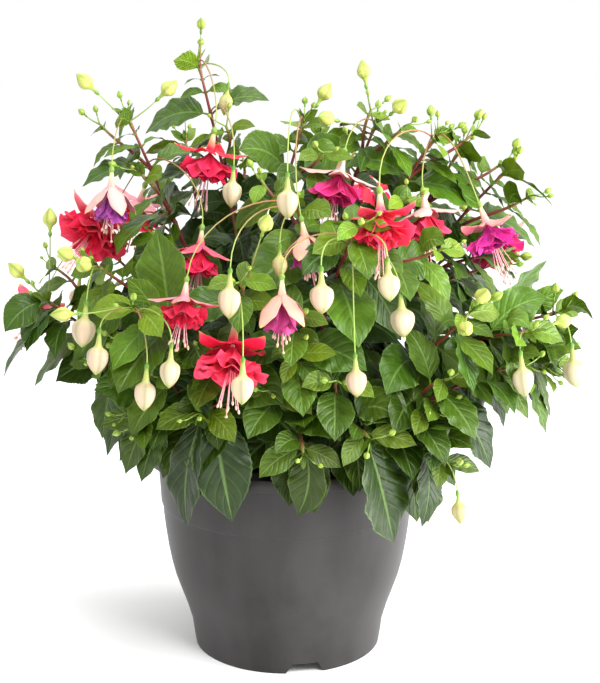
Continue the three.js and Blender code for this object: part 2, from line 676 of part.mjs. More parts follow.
// The corolla of a bloom: a core that ends in the style, two layers of waved petals, and stamens.
function corollaSolid(bloom) {
  const frame = bloomFrame(bloom);
  const neck = TUBE_LENGTH + CLEARANCE / bloom.size;
  const core = [
    bloomRing(frame, neck, 3, (bloom.spin + 45) * DEG),
    bloomRing(frame, neck + CORE_LENGTH, CORE_RADIUS, (bloom.spin + 45) * DEG),
    [bloomPoint(frame, neck + STYLE_LENGTH, 0, 0)],
  ];
  let made = solidOf(loft(core));
  const first = THREE.MathUtils.lerp(16, 38, bloom.open) * DEG;
  const last = THREE.MathUtils.lerp(8, 66, bloom.open) * DEG;
  const half = PETAL_HALF * THREE.MathUtils.lerp(0.45, 1, bloom.open);
  for (let k = 0; k < OUTER_PETALS; k++) {
    const turn = (bloom.spin + 45 + 90 * k) * DEG;
    const length = PETAL_LENGTH * (k % 2 ? 0.94 : 1);
    made = made.add(petalSolid(frame, turn, length, half, first, last, 1.6));
  }
  for (let k = 0; k < INNER_PETALS && bloom.open > 0.5; k++) {
    const turn = (bloom.spin + 20 + 180 * k) * DEG;
    made = made.add(petalSolid(frame, turn, PETAL_LENGTH * 0.86, half * 0.7, first * 0.45, last * 0.4, 1.2));
  }
  for (let k = 0; k < STAMEN_COUNT; k++) {
    const turn = (k * 2 * Math.PI) / STAMEN_COUNT;
    const foot = bloomPoint(frame, neck + CORE_LENGTH * 0.7, 1.6, turn);
    const tip = bloomPoint(frame, neck + STAMEN_LENGTH, 6, turn);
    made = made.add(solidOf(loft([ring(foot, frame.across, frame.over, STAMEN_ROOT, 3), [tip]])));
  }
  return made;
}

// What is already placed, and whether a solid would cross any of it: what other shoots own, and
// for a leaf's blade also the leaves of its own shoot.
const placed = [];

function occupy(solid, owner, leaf = false) {
  const { min, max } = solid.boundingBox();
  placed.push({ solid, owner, leaf, min, max });
}

function isClear(solid, owner, leaf = false) {
  const { min, max } = solid.boundingBox();
  return !placed.some((other) => {
    if (other.owner === owner && !(leaf && other.leaf)) return false;
    if ([0, 1, 2].some((i) => min[i] > other.max[i] || max[i] < other.min[i])) return false;
    return solid.intersect(other.solid).volume() > 1e-6;
  });
}

const plant = new THREE.Group();
const pot = potSolid();
occupy(pot, "pot");

const shoots = SHOOTS.map(({ tip, pitch, forks }, index) => {
  const name = `stem_${String(index + 1).padStart(2, "0")}`;
  const main = shootRoute(new THREE.Vector3(...tip), pitch);
  const sides = forks.map((fork) => forkRoute(main, fork));
  const stems = [main, ...sides].map(stemSolid);
  const pairs = [...pairsOn(main, SHOOT_BARE), ...sides.flatMap((side) => pairsOn(side, FORK_BARE))];
  stems.forEach((stem) => occupy(stem, name));
  return { name, root: main.points[0], pairs, pieces: stems };
});

const compost = compostSolid(shoots);
occupy(compost, "soil");

const blooms = BLOOM_PLACES.map((bloom, index) => {
  const name = `bloom_${String(index + 1).padStart(2, "0")}`;
  const sepals = sepalsSolid(bloom);
  const corolla = corollaSolid(bloom);
  occupy(sepals, name);
  occupy(corolla, name);
  return { name, sepals, corolla };
});

// The leaf axils, nearest first, that something at a place could grow from.
function axilsNear(at, hangs) {
  const wanted = at.clone().addScaledVector(UP, hangs ? HANG_DROP : -HOLD_RISE);
  const all = shoots.flatMap((shoot) => shoot.pairs.map((pair) => ({ shoot, pair })));
  const cost = ({ pair }) => pair.at.distanceTo(wanted) + (hangs ? 2 * Math.max(0, at.z - pair.at.z) : 0);
  return all.sort((a, b) => cost(a) - cost(b)).slice(0, AXIL_TRIES);
}

// Where the next pedicel leaves a pair's axils: just above its leaves, and above those before it.
function axilOf({ route, distance, rank, carried }) {
  const rise = rank ? AXIL_RISE * (0.7 + carried) : AXIL_RISE * Math.min(carried, 2);
  return placeOn(route, distance - rise).at;
}

// Buds grow on the nearest axil that their pedicel reaches without crossing anything.
for (const [form, x, y, z] of BUD_PLACES) {
  const at = new THREE.Vector3(x, y, z);
  const { hangs } = BUDS[form];
  for (const { shoot, pair } of axilsNear(at, hangs)) {
    const lean = new THREE.Vector3(x, y, 0).normalize().multiplyScalar(0.15);
    const axis = hangs ? lean.addScaledVector(UP, -1).normalize() : at.clone().sub(pair.at).normalize();
    const bud = pedicelSolid(axilOf(pair), at, axis, BUDS[form]);
    if (!isClear(bud, shoot.name)) continue;
    occupy(bud, shoot.name);
    shoot.pieces.push(bud);
    pair.carried += 1;
    break;
  }
}

// Each bloom hangs from the nearest axil too, a hair clear of its pedicel's end.
for (const bloom of BLOOM_PLACES) {
  const frame = bloomFrame(bloom);
  const end = frame.at.clone().addScaledVector(frame.axis, -CLEARANCE);
  for (const { shoot, pair } of axilsNear(frame.at, true)) {
    const pedicel = pedicelSolid(axilOf(pair), end, frame.axis, BLOOM_PEDICEL);
    if (!isClear(pedicel, shoot.name)) continue;
    occupy(pedicel, shoot.name);
    shoot.pieces.push(pedicel);
    pair.carried += 1;
    break;
  }
}

// Leaves take the first of their draws that crosses nothing.
shoots.forEach((shoot, index) => {
  shoot.pairs.forEach((pair, order) => {
    for (let side = 0; side < 2; side++) {
      for (let attempt = 0; attempt < LEAF_TRIES; attempt++) {
        const leaf = leafOf(index * 64 + order * 2 + side, pair, side, attempt);
        const solid = leafSolid(leaf, 0);
        if (!isClear(solid, shoot.name) || !isClear(leafSolid(leaf, LEAF_ROOM), shoot.name, true)) continue;
        occupy(solid, shoot.name, true);
        shoot.pieces.push(solid);
        break;
      }
    }
  });
});

plant.add(meshOf("pot", pot, materials.pot));
plant.add(meshOf("soil", compost, materials.compost));
for (const shoot of shoots) plant.add(meshOf(shoot.name, Manifold.union(shoot.pieces), materials.shoot));
for (const { name, sepals, corolla } of blooms) {
  plant.add(meshOf(`${name}_sepals`, sepals, materials.sepals));
  plant.add(meshOf(`${name}_corolla`, corolla, materials.corolla));
}

export default plant;
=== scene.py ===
# %% [markdown]
# A double-flowered fuchsia in a moulded pot, dressed over a packed model of plain solids.
# Every leafy stem, bloom, the pot and the compost has one solid in the packed model. This scene
# grows each of them again with the same rule and the same seeded draws, but finely: toothed and
# veined leaves, ruffled petals, ribbed buds. The solids then only carry the weight and the collision.

# %% Load the packed model
import math

import bmesh
import bpy
import numpy as np
from mathutils import Matrix, Vector


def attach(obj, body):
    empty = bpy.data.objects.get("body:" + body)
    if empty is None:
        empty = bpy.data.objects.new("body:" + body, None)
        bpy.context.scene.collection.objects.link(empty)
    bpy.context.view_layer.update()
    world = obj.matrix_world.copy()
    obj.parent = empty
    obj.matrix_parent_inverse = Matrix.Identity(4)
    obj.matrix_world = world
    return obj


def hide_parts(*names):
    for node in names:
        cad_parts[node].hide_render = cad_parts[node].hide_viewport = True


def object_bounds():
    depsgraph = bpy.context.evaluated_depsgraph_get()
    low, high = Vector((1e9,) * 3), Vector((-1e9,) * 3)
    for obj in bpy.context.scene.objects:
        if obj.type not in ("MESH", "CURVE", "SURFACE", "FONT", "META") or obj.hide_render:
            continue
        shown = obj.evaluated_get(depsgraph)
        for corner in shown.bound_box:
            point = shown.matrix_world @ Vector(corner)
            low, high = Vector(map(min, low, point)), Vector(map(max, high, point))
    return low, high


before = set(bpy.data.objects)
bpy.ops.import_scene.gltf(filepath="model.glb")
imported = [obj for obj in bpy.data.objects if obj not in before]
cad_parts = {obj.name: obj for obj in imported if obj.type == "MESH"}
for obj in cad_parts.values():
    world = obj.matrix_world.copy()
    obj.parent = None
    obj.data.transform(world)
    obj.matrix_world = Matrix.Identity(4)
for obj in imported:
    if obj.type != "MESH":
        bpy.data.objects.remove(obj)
cad_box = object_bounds()
print("nodes", len(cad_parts), "box", [[round(v, 3) for v in corner] for corner in cad_box])

# %% [markdown]
# The plant is measured in millimetres, as a grower would, and Blender works in metres, so points are
# scaled once, when a mesh is made. Colours are written as the hex values that a paint chart gives.
# Blender mixes light in linear values, so one function turns the hex into linear numbers.

# %% Units and colours
MM = 0.001
UP = np.array([0.0, 0.0, 1.0])


def linear(hex_colour):
    """The linear red, green and blue of an sRGB hex colour."""
    channels = [int(hex_colour[i : i + 2], 16) / 255 for i in (1, 3, 5)]
    return np.array([c / 12.92 if c <= 0.04045 else ((c + 0.055) / 1.055) ** 2.4 for c in channels])


def opaque(hex_colour):
    """A linear colour with the full alpha that a colour socket wants."""
    return (*linear(hex_colour), 1.0)


print("a grey of 128 in linear light", linear("#808080").round(3))

# %% [markdown]
# Stems, stalks and petals are laid out by directions: along a stem, square to it, or turned about it.
# A girth or a colour that changes along a piece is a smooth profile through a few
# stops, so that a bud swells and closes without dips or bulges between the stops.

# %% Directions and profiles
def unit(vector):
    """A direction of length one."""
    return vector / np.linalg.norm(vector)


def squared(direction, to):
    """A direction made square to another."""
    return unit(direction - to * (direction @ to))


def turned(vector, axis, angle):
    """A vector turned about an axis."""
    return (
        vector * math.cos(angle)
        + np.cross(axis, vector) * math.sin(angle)
        + axis * (axis @ vector) * (1 - math.cos(angle))
    )


def around(count):
    """Evenly spaced angles once round."""
    return np.linspace(0, 2 * math.pi, count, endpoint=False)


def lerp(low, high, share):
    """A value at a share of the way between two."""
    return low + (high - low) * share


def profile(stops, share):
    """A smooth curve through stops of place and value, with no dips between them. A stop's value may
    be a hex colour, and then the colours are eased into each other."""
    places = np.array([stop[0] for stop in stops], float)
    values = np.array([linear(v) if isinstance(v, str) else [v] for _, v in stops], float)
    steps = np.diff(places)[:, None]
    slopes = np.diff(values, axis=0) / steps
    bends = np.zeros_like(values)
    flat = slopes[:-1] * slopes[1:] <= 0
    with np.errstate(divide="ignore", invalid="ignore"):
        bends[1:-1] = np.where(flat, 0.0, 2 * slopes[:-1] * slopes[1:] / (slopes[:-1] + slopes[1:]))
    bends[0], bends[-1] = slopes[0], slopes[-1]
    share = np.clip(np.asarray(share, float), places[0], places[-1])
    k = np.clip(np.searchsorted(places, share, side="right") - 1, 0, len(steps) - 1)
    t = ((share - places[k]) / steps[k, 0])[:, None]
    eased = (
        values[k] * (1 + 2 * t) * (1 - t) ** 2
        + values[k + 1] * t**2 * (3 - 2 * t)
        + steps[k] * (bends[k] * t * (1 - t) ** 2 - bends[k + 1] * t**2 * (1 - t))
    )
    return eased if values.shape[1] == 3 else eased[:, 0]


print("halfway up a profile", profile([(0, 1), (1, 3), (2, 4)], [0.5, 1.0, 1.5]).round(3))

# %% [markdown]
# Nothing in a plant repeats exactly, yet this one has to grow the same way on each run. A small
# generator gives numbers from a seed, so each leaf can be asked again for its own draws. It is the one
# that the solids were grown with. Each kind of growth counts its seeds from a number of its own.

# %% Seeded draws
WORD = 0xFFFFFFFF
STRIDE = 0x6D2B79F5


def draws(seed):
    """A function that draws numbers between two values, the same ones for the same seed."""
    state = seed & WORD

    def draw(low, high):
        nonlocal state
        state = (state + STRIDE) & WORD
        t = ((state ^ (state >> 15)) * (state | 1)) & WORD
        t ^= (t + (((t ^ (t >> 7)) * (t | 61)) & WORD)) & WORD
        return low + (high - low) * (t ^ (t >> 14)) / (WORD + 1)

    return draw


print("first draw of seed 1", round(draws(1)(0, 1), 4), "and again", round(draws(1)(0, 1), 4))

# %% [markdown]
# Almost everything on a plant is a grid of points: a leaf is rows across its midrib, a stem is
# rings along its route, a bud is rings that swell and close. So one collector takes grids, with a
# map position and a tint for each point, and turns them into one mesh with several finishes.

# %% A collector of grids
class Growth:
    """Gathers grids of points, in millimetres, into one mesh."""

    def __init__(self):
        self.points, self.maps, self.tints, self.faces, self.finishes = [], [], [], [], []
        self.count = 0

    def grid(self, points, tint, on=0, wrapped=False):
        """Adds rows by columns of points. The tint is one colour, or one for each row or point, and
        on is the place of the grid's finish in the mesh's list of materials."""
        rows, columns = points.shape[:2]
        tint = np.asarray(tint, float)
        if tint.ndim == 2:
            tint = tint[:, None, :]
        along, across = np.meshgrid(np.linspace(0, 1, rows), np.linspace(0, 1, columns), indexing="ij")
        self.points.append(points.reshape(-1, 3))
        self.maps.append(np.stack([across, along], -1).reshape(-1, 2))
        self.tints.append(np.broadcast_to(tint, points.shape).reshape(-1, 3))
        last = columns if wrapped else columns - 1
        r, c = np.meshgrid(np.arange(rows - 1), np.arange(last), indexing="ij")
        here, there = r * columns + c, r * columns + (c + 1) % columns
        quads = np.stack([here, there, there + columns, here + columns], -1).reshape(-1, 4)
        self.faces.append(quads + self.count)
        self.finishes.append(np.full(len(quads), on, np.int32))
        self.count += rows * columns

    def mesh(self, name, materials):
        """The mesh object of everything gathered."""
        points = np.concatenate(self.points) * MM
        faces = np.concatenate(self.faces)
        mesh = bpy.data.meshes.new(name)
        mesh.vertices.add(len(points))
        mesh.vertices.foreach_set("co", points.ravel())
        mesh.loops.add(faces.size)
        mesh.loops.foreach_set("vertex_index", faces.ravel())
        mesh.polygons.add(len(faces))
        mesh.polygons.foreach_set("loop_start", np.arange(0, faces.size, 4))
        mesh.polygons.foreach_set("material_index", np.concatenate(self.finishes))
        for material in materials:
            mesh.materials.append(material)
        mesh.update(calc_edges=True)
        places = np.concatenate(self.maps)[faces.ravel()]
        mesh.uv_layers.new(name="growth").uv.foreach_set("vector", places.ravel().astype(np.float32))
        colours = np.concatenate([np.concatenate(self.tints), np.ones((len(points), 1))], 1)
        tint = mesh.color_attributes.new("tint", "FLOAT_COLOR", "POINT")
        tint.data.foreach_set("color", colours.ravel().astype(np.float32))
        mesh.validate()
        mesh.shade_smooth()
        piece = bpy.data.objects.new(name, mesh)
        bpy.context.scene.collection.objects.link(piece)
        return piece


print("a growth gathers", list(vars(Growth())))

# %% [markdown]
# A stem, a stalk or a stamen is a tube, and a bud or a crumb is a tube that swells. Blender could
# bevel a curve for this, but rings made by hand can change their girth at every step and be lobed,
# and they need no conversion. The frame of each ring is carried on from the one before, so that a
# tube doesn't twist where it bends.

# %% Rings and tubes
def rings(centres, across, over, radii, sides):
    """Rings of points round centres, with a radius for each ring or each point."""
    angles = around(sides)
    radii = np.asarray(radii, float)
    radii = radii[:, None] if radii.ndim == 1 else radii
    return (
        centres[:, None, :]
        + across[:, None, :] * (radii * np.cos(angles))[..., None]
        + over[:, None, :] * (radii * np.sin(angles))[..., None]
    )


def tube(path, radii, sides=6):
    """Rings along a path, with no twist from one to the next."""
    headings = np.gradient(path, axis=0)
    headings /= np.linalg.norm(headings, axis=1)[:, None]
    across = squared(np.array([0.31, 0.95, 0.05]), headings[0])
    frames = []
    for heading in headings:
        across = squared(across, heading)
        frames.append(across)
    frames = np.array(frames)
    return rings(path, frames, np.cross(headings, frames), radii, sides)


print("a tube of three rings has the shape", tube(np.outer([0, 1, 2], UP), [1, 1, 1]).shape)

# %% [markdown]
# A finish is a small graph of shader nodes. One function adds a node with its settings, and either
# sets each input or links another node's output to it, so that a graph reads as a list of steps.
# A Mix node's colour sockets share their names with its number sockets, so they are reached by their
# place. Patterns that follow the object's own size have their scale from a real size in millimetres.

# %% Building a finish
MIX_FACTOR, MIX_FIRST, MIX_SECOND, MIX_COLOUR = 0, 6, 7, 2


def wire(node, inputs):
    """Sets each input of a node to a value, or links another node's output to it."""
    for name, value in inputs.items():
        if isinstance(value, bpy.types.NodeSocket):
            node.id_data.links.new(value, node.inputs[name])
        else:
            node.inputs[name].default_value = value


def add(material, kind, inputs, out=0, **settings):
    """Adds a node with its settings and its inputs, and gives one of its outputs."""
    node = material.node_tree.nodes.new(kind)
    for name, value in settings.items():
        setattr(node, name, value)
    wire(node, inputs)
    return node.outputs[out]


def finish(name, **surface):
    """A new material and its Principled shader, with the sockets that are the same all over."""
    material = bpy.data.materials.new(name)
    material.use_nodes = True
    shader = material.node_tree.nodes["Principled BSDF"]
    wire(shader, {socket.replace("_", " "): value for socket, value in surface.items()})
    return material, shader


print("a colour mix uses the sockets", MIX_FACTOR, MIX_FIRST, MIX_SECOND, "and gives", MIX_COLOUR)

# %% [markdown]
# A fuchsia leaf has a pale midrib and pale side veins. They are drawn from the leaf's own map, along it
# from stalk to tip and across it from edge to edge, so they follow each leaf however it bends. A leaf
# of 75 mm has seven side veins on each side, one about every 10 mm, and each is swept towards the tip.
# Modelled veins would take many times the triangles and would show no better at this size.

# %% Leaf veins
SIDE_VEINS = 7
VEIN_SWEEP = 0.3


def leaf_veins(material):
    """How far each point is from a side vein, and how much of side vein, midrib and margin it is."""
    place = add(material, "ShaderNodeUVMap", {}, uv_map="growth")
    across = add(material, "ShaderNodeSeparateXYZ", {"Vector": place}, out="X")
    along = across.node.outputs["Y"]
    centred = add(material, "ShaderNodeMath", {0: across, 1: 0.5}, operation="SUBTRACT")
    outwards = add(material, "ShaderNodeMath", {0: centred}, operation="ABSOLUTE")
    swept = add(
        material, "ShaderNodeMath", {0: outwards, 1: -2 * VEIN_SWEEP, 2: along}, operation="MULTIPLY_ADD"
    )
    count = add(material, "ShaderNodeMath", {0: swept, 1: SIDE_VEINS}, operation="MULTIPLY")
    ridge = add(material, "ShaderNodeMath", {0: count, 1: 0.5}, operation="PINGPONG")
    side = add(
        material,
        "ShaderNodeMapRange",
        {"Value": ridge, "From Min": 0.0, "From Max": 0.06, "To Min": 0.36, "To Max": 0.0},
        interpolation_type="SMOOTHSTEP",
    )
    middle = add(
        material,
        "ShaderNodeMapRange",
        {"Value": outwards, "From Min": 0.012, "From Max": 0.045, "To Min": 0.95, "To Max": 0.0},
        interpolation_type="SMOOTHSTEP",
    )
    margin = add(
        material,
        "ShaderNodeMapRange",
        {"Value": outwards, "From Min": 0.46, "From Max": 0.5, "To Min": 0.0, "To Max": 0.8},
    )
    return ridge, side, middle, margin


print("a side vein every", round(1 / SIDE_VEINS, 2), "of a leaf")

# %% [markdown]
# The skin of the leaf is thin and waxy: a soft sheen, not a mirror. The veins lie in grooves, and the
# blade between them stands up in shallow ribs, which a bump gives. Patches of deeper green, a few
# millimetres across, come from a noise, because a leaf of one even green looks like plastic.

# %% Leaf finish
BLADE_PATCH = 6.25 * MM
RIB_HEIGHT = 1.2 * MM
VEIN_PALENESS = "#4e6434"


def leaf_finish():
    """Waxy leaf skin: satin, with patches of deeper green and pale veins in grooves."""
    material, shader = finish("fuchsia_leaf_waxy_skin", Roughness=0.38, IOR=1.45, Specular_IOR_Level=0.36)
    tint = add(material, "ShaderNodeAttribute", {}, attribute_name="tint")
    ridge, side, middle, margin = leaf_veins(material)
    veins = add(material, "ShaderNodeMath", {0: side, 1: middle}, operation="MAXIMUM")
    pale = add(material, "ShaderNodeMath", {0: veins, 1: margin}, operation="MAXIMUM")
    spot = add(material, "ShaderNodeTexCoord", {}, out="Object")
    patch = add(
        material,
        "ShaderNodeTexNoise",
        {"Vector": spot, "Scale": 1 / BLADE_PATCH, "Detail": 3.0, "Roughness": 0.6},
    )
    shade = add(
        material,
        "ShaderNodeMapRange",
        {"Value": patch, "From Min": 0.3, "From Max": 0.7, "To Min": 0.8, "To Max": 1.2},
    )
    blade = add(material, "ShaderNodeVectorMath", {0: tint, "Scale": shade}, operation="SCALE")
    vein = add(
        material,
        "ShaderNodeVectorMath",
        {0: tint, 1: (1.0, 0.95, 1.0), 2: tuple(linear(VEIN_PALENESS))},
        operation="MULTIPLY_ADD",
    )
    colour = add(
        material,
        "ShaderNodeMix",
        {MIX_FACTOR: pale, MIX_FIRST: blade, MIX_SECOND: vein},
        out=MIX_COLOUR,
        data_type="RGBA",
    )
    rib = add(
        material,
        "ShaderNodeMapRange",
        {"Value": ridge, "From Min": 0.0, "From Max": 0.3, "To Min": 0.0, "To Max": 0.6},
        interpolation_type="SMOOTHSTEP",
    )
    quilt = add(material, "ShaderNodeMath", {0: patch, 1: 0.9, 2: rib}, operation="MULTIPLY_ADD")
    swell = add(material, "ShaderNodeMath", {0: quilt, 1: middle}, operation="SUBTRACT")
    bump = add(material, "ShaderNodeBump", {"Strength": 0.5, "Distance": RIB_HEIGHT, "Height": swell})
    wire(shader, {"Base Color": colour, "Normal": bump})
    return material


LEAF = leaf_finish()
print("leaf finish", LEAF.name, "with", len(LEAF.node_tree.nodes), "nodes")

# %% [markdown]
# Petals and sepals are soft tissue full of water. A petal is velvety, so light skims off it as a faint
# sheen, and fine streaks run from its foot to its rim. Sepals and buds are thicker and waxier, like
# the skin of a grape. Both let a little light through, which lifts their shadows. Young bark is drier,
# with fine rings across it. The streaks follow each piece's own map. So how many there are is worked
# out from the width and length of a typical piece in millimetres, divided by how far apart they are.
# The width of a sepal is taken round both its faces, and that of a stem right round it.

# %% Petal, sepal and stem finishes
PETAL_STREAKS = (31.2 / 1.2, 31 / 15.5, 1.0)
SEPAL_STREAKS = (35 / 2.5, 35 / 17.5, 1.0)
BARK_STREAKS = (15 / 3.0, 400 / 2.5, 1.0)
STREAK_DEPTH = 0.6 * MM


def tissue_finish(name, streaks, contrast, **surface):
    """Plant tissue in its own tint, with streaks along it or across it."""
    material, shader = finish(name, IOR=1.4, **surface)
    tint = add(material, "ShaderNodeAttribute", {}, attribute_name="tint")
    place = add(material, "ShaderNodeUVMap", {}, uv_map="growth")
    drawn = add(material, "ShaderNodeVectorMath", {0: place, 1: streaks}, operation="MULTIPLY")
    noise = add(
        material, "ShaderNodeTexNoise", {"Vector": drawn, "Scale": 1.0, "Detail": 2.0, "Roughness": 0.5}
    )
    shade = add(
        material,
        "ShaderNodeMapRange",
        {"Value": noise, "From Min": 0.3, "From Max": 0.7, "To Min": 1 - contrast, "To Max": 1 + contrast},
    )
    colour = add(material, "ShaderNodeVectorMath", {0: tint, "Scale": shade}, operation="SCALE")
    bump = add(material, "ShaderNodeBump", {"Strength": 0.35, "Distance": STREAK_DEPTH, "Height": noise})
    wire(shader, {"Base Color": colour, "Normal": bump})
    return material


PETAL = tissue_finish(
    "fuchsia_petal_velvety",
    PETAL_STREAKS,
    0.14,
    Roughness=0.55,
    Sheen_Weight=0.12,
    Subsurface_Weight=0.12,
    Subsurface_Scale=2 * MM,
)
SEPAL = tissue_finish(
    "fuchsia_sepal_waxy",
    SEPAL_STREAKS,
    0.06,
    Roughness=0.38,
    Subsurface_Weight=0.15,
    Subsurface_Scale=3 * MM,
)
STEM = tissue_finish("fuchsia_stem_young_bark", BARK_STREAKS, 0.16, Roughness=0.5)
GROWTH_FINISHES = [LEAF, STEM, SEPAL, PETAL]
ON_LEAF, ON_STEM, ON_SEPAL, ON_PETAL = range(len(GROWTH_FINISHES))
print("finishes", [material.name for material in GROWTH_FINISHES])

# %% [markdown]
# A fuchsia shoot rises from the compost and bends over to its tip, and side shoots fork off it. The
# tips are where the real plant has them, listed in millimetres. A row has a shoot's tip, the
# pitch in degrees that it arrives at, and its side shoots. A side shoot has its tip, its pitch and how
# far back from the shoot's tip it leaves.

# %% Where the shoots end
SHOOTS = [
    ((-75, 24, 510), 76, []),
    ((-131, -20, 467), 68, [((-119, -52, 424), 40, 120)]),
    ((15, 8, 461), 66, []),
    ((76, 0, 461), 66, []),
    ((125, -22, 452), 54, []),
    ((148, 12, 437), 58, []),
    ((188, 8, 420), 44, [((182, -14, 350), 4, 130)]),
    ((229, -48, 308), 14, [((192, -108, 303), 8, 100)]),
    ((146, -115, 323), 52, []),
    ((-203, -40, 318), 42, []),
    ((-152, -86, 354), 34, []),
    ((-116, -151, 332), 23, []),
    ((51, -127, 384), 50, [((10, -92, 404), 60, 100)]),
    ((130, -124, 199), -24, [((124, -118, 250), 2, 85)]),
    ((14, -152, 216), -38, [((8, -148, 296), 16, 110)]),
    ((-66, -142, 246), -14, [((-118, -118, 232), -20, 85)]),
    ((66, -144, 226), -26, []),
    ((-39, -117, 334), 46, []),
    ((-172, 92, 344), 36, [((-92, 96, 436), 64, 150)]),
    ((-66, 184, 324), 18, [((-120, 150, 262), -12, 100)]),
    ((74, 178, 318), 16, [((30, 118, 440), 66, 160)]),
    ((176, 118, 352), 30, [((152, 142, 256), -14, 110)]),
]
print("shoots", len(SHOOTS), "side shoots", sum(len(forks) for _, _, forks in SHOOTS))

# %% [markdown]
# A stem's route is a Bezier curve from its foot to its tip. A shoot leaves the compost upwards and
# arrives at its own pitch, like a stem that grew to the light and then bent under its load. A Bezier
# curve gives just that: where it ends, and which way it heads at both ends. It is kept as a few
# straight lengths, as the solids have it, so that every leaf starts where the solid's leaf does.

# %% Routes of the stems
SHOOT_RADIUS = 2.6
FORK_RADIUS = 1.8
TIP_RADIUS = 1.2


def bezier(points, shares):
    """Points of a cubic Bezier curve at shares of its span."""
    t = np.asarray(shares, float)[:, None]
    a, b, c, d = points
    return a * (1 - t) ** 3 + 3 * b * t * (1 - t) ** 2 + 3 * c * t**2 * (1 - t) + d * t**3


class Route:
    """A stem's straight lengths from its foot to its tip, and how far each point is from the tip."""

    def __init__(self, points, foot_radius):
        self.points = points
        steps = np.linalg.norm(np.diff(points, axis=0), axis=1)
        self.back = np.append(np.cumsum(steps[::-1])[::-1], 0.0)
        chord = points[-1] - points[0]
        self.level = unit(np.array([-chord[1], chord[0], 0.0]))
        self.foot_radius = foot_radius

    def radius(self, distance):
        """The stem's radius at a distance back from its tip."""
        return lerp(TIP_RADIUS, self.foot_radius, distance / self.back[0])

    def place(self, distance):
        """The point at a distance back from the tip, and the way the stem heads there."""
        i = len(self.points) - 2
        while i > 0 and self.back[i] < distance:
            i -= 1
        share = (self.back[i] - distance) / (self.back[i] - self.back[i + 1])
        return lerp(self.points[i], self.points[i + 1], share), unit(self.points[i + 1] - self.points[i])


leaning = Route(np.array([[0.0, 0.0, 0.0], [0.0, 0.0, 40.0], [30.0, 0.0, 80.0]]), SHOOT_RADIUS)
print("25 mm back from the tip of a leaning stem is", leaning.place(25)[0])

# %% [markdown]
# A shoot starts inside the compost, nearer the pot's axis than its tip, and stands upright at the
# collar, where it comes out. A side shoot starts on its parent and leaves it partly along the
# parent's own way, because a fork opens gradually.

# %% Shoots and side shoots
COMPOST_TOP = 171
COLLAR_RISE = 4
SHOOT_DEPTH = 24
SHOOT_BENDS = 6
FORK_BENDS = 4
ROOT_SHARE = 0.34
ROOT_REACH = 82
RISE_SHARE = 0.36
FORK_PULL = 1.2


def arrival(tip, pitch):
    """The way that a tip points: out from the pot's axis at its pitch."""
    out = unit(np.array([tip[0], tip[1], 0.0]))
    return out * math.cos(math.radians(pitch)) + UP * math.sin(math.radians(pitch))


def shoot_route(tip, pitch):
    """The route of a shoot, up from inside the compost."""
    root = np.array([tip[0], tip[1], 0.0]) * ROOT_SHARE
    root *= min(1.0, ROOT_REACH / np.linalg.norm(root))
    collar = root + UP * (COMPOST_TOP + COLLAR_RISE)
    rise = RISE_SHARE * np.linalg.norm(tip - collar)
    curve = [collar, collar + UP * rise, tip - arrival(tip, pitch) * rise, tip]
    bend = bezier(curve, np.linspace(0, 1, SHOOT_BENDS + 1))
    return Route(np.vstack([root + UP * (COMPOST_TOP - SHOOT_DEPTH), bend]), SHOOT_RADIUS)


def fork_route(parent, tip, pitch, back):
    """The route of a side shoot, from a distance back on its parent."""
    at, heading = parent.place(back)
    rise = RISE_SHARE * np.linalg.norm(tip - at)
    leave = unit(heading + unit(tip - at) * FORK_PULL)
    curve = [at, at + leave * rise, tip - arrival(tip, pitch) * rise, tip]
    return Route(bezier(curve, np.linspace(0, 1, FORK_BENDS + 1)), FORK_RADIUS)


shoots = []
for number, (tip, pitch, forks) in enumerate(SHOOTS, 1):
    main = shoot_route(np.array(tip, float), pitch)
    sides = [fork_route(main, np.array(fork_tip, float), *rest) for fork_tip, *rest in forks]
    shoots.append({"name": f"stem_{number:02d}", "routes": [main, *sides], "growth": Growth()})
print("the longest shoot is", round(max(shoot["routes"][0].back[0] for shoot in shoots)), "mm long")

# %% [markdown]
# Leaves sit in opposite pairs, each pair turned a quarter against the next. The solids hold up to four
# pairs on a stem, and the first thing to find is where those are. Near the foot a stem is bare. A
# pair's rank counts the pairs from the tip: the higher it is, the older and longer are the leaves.

# %% Leaf pairs
PAIR_DISTANCES = (9, 48, 98, 158)
PAIR_LENGTHS = (40, 72, 86, 90)
PAIR_LOWEST = 205
SHOOT_BARE = 60
FORK_BARE = 18
AXIL_RISE = 3
FIRST_AXIL = 0.7
TIP_AXILS = 2


class Pair:
    """A node of the stem with its pair of leaves, and how many pedicels leave it."""

    def __init__(self, route, distance, rank):
        self.route, self.distance, self.rank = route, distance, rank
        self.at, self.heading = route.place(distance)
        self.level = squared(route.level, self.heading)
        self.carried = 0

    def axil(self):
        """Where the next pedicel leaves: above the leaves, and above the pedicels before it."""
        steps = FIRST_AXIL + self.carried if self.rank else min(self.carried, TIP_AXILS)
        return self.route.place(self.distance - AXIL_RISE * steps)[0]


def pairs_on(route, bare):
    """The pairs that the solid has on a stem, from the tip down to its bare foot."""
    pairs = []
    for rank, distance in enumerate(PAIR_DISTANCES):
        if distance > route.back[0] - bare:
            continue
        pair = Pair(route, distance, rank)
        if not rank or pair.at[2] >= PAIR_LOWEST:
            pairs.append(pair)
    return pairs


for shoot in shoots:
    main, *sides = shoot["routes"]
    shoot["pairs"] = pairs_on(main, SHOOT_BARE)
    for side in sides:
        shoot["pairs"] += pairs_on(side, FORK_BARE)
all_pairs = [(shoot, pair) for shoot in shoots for pair in shoot["pairs"]]
print("pairs of leaves", len(all_pairs))

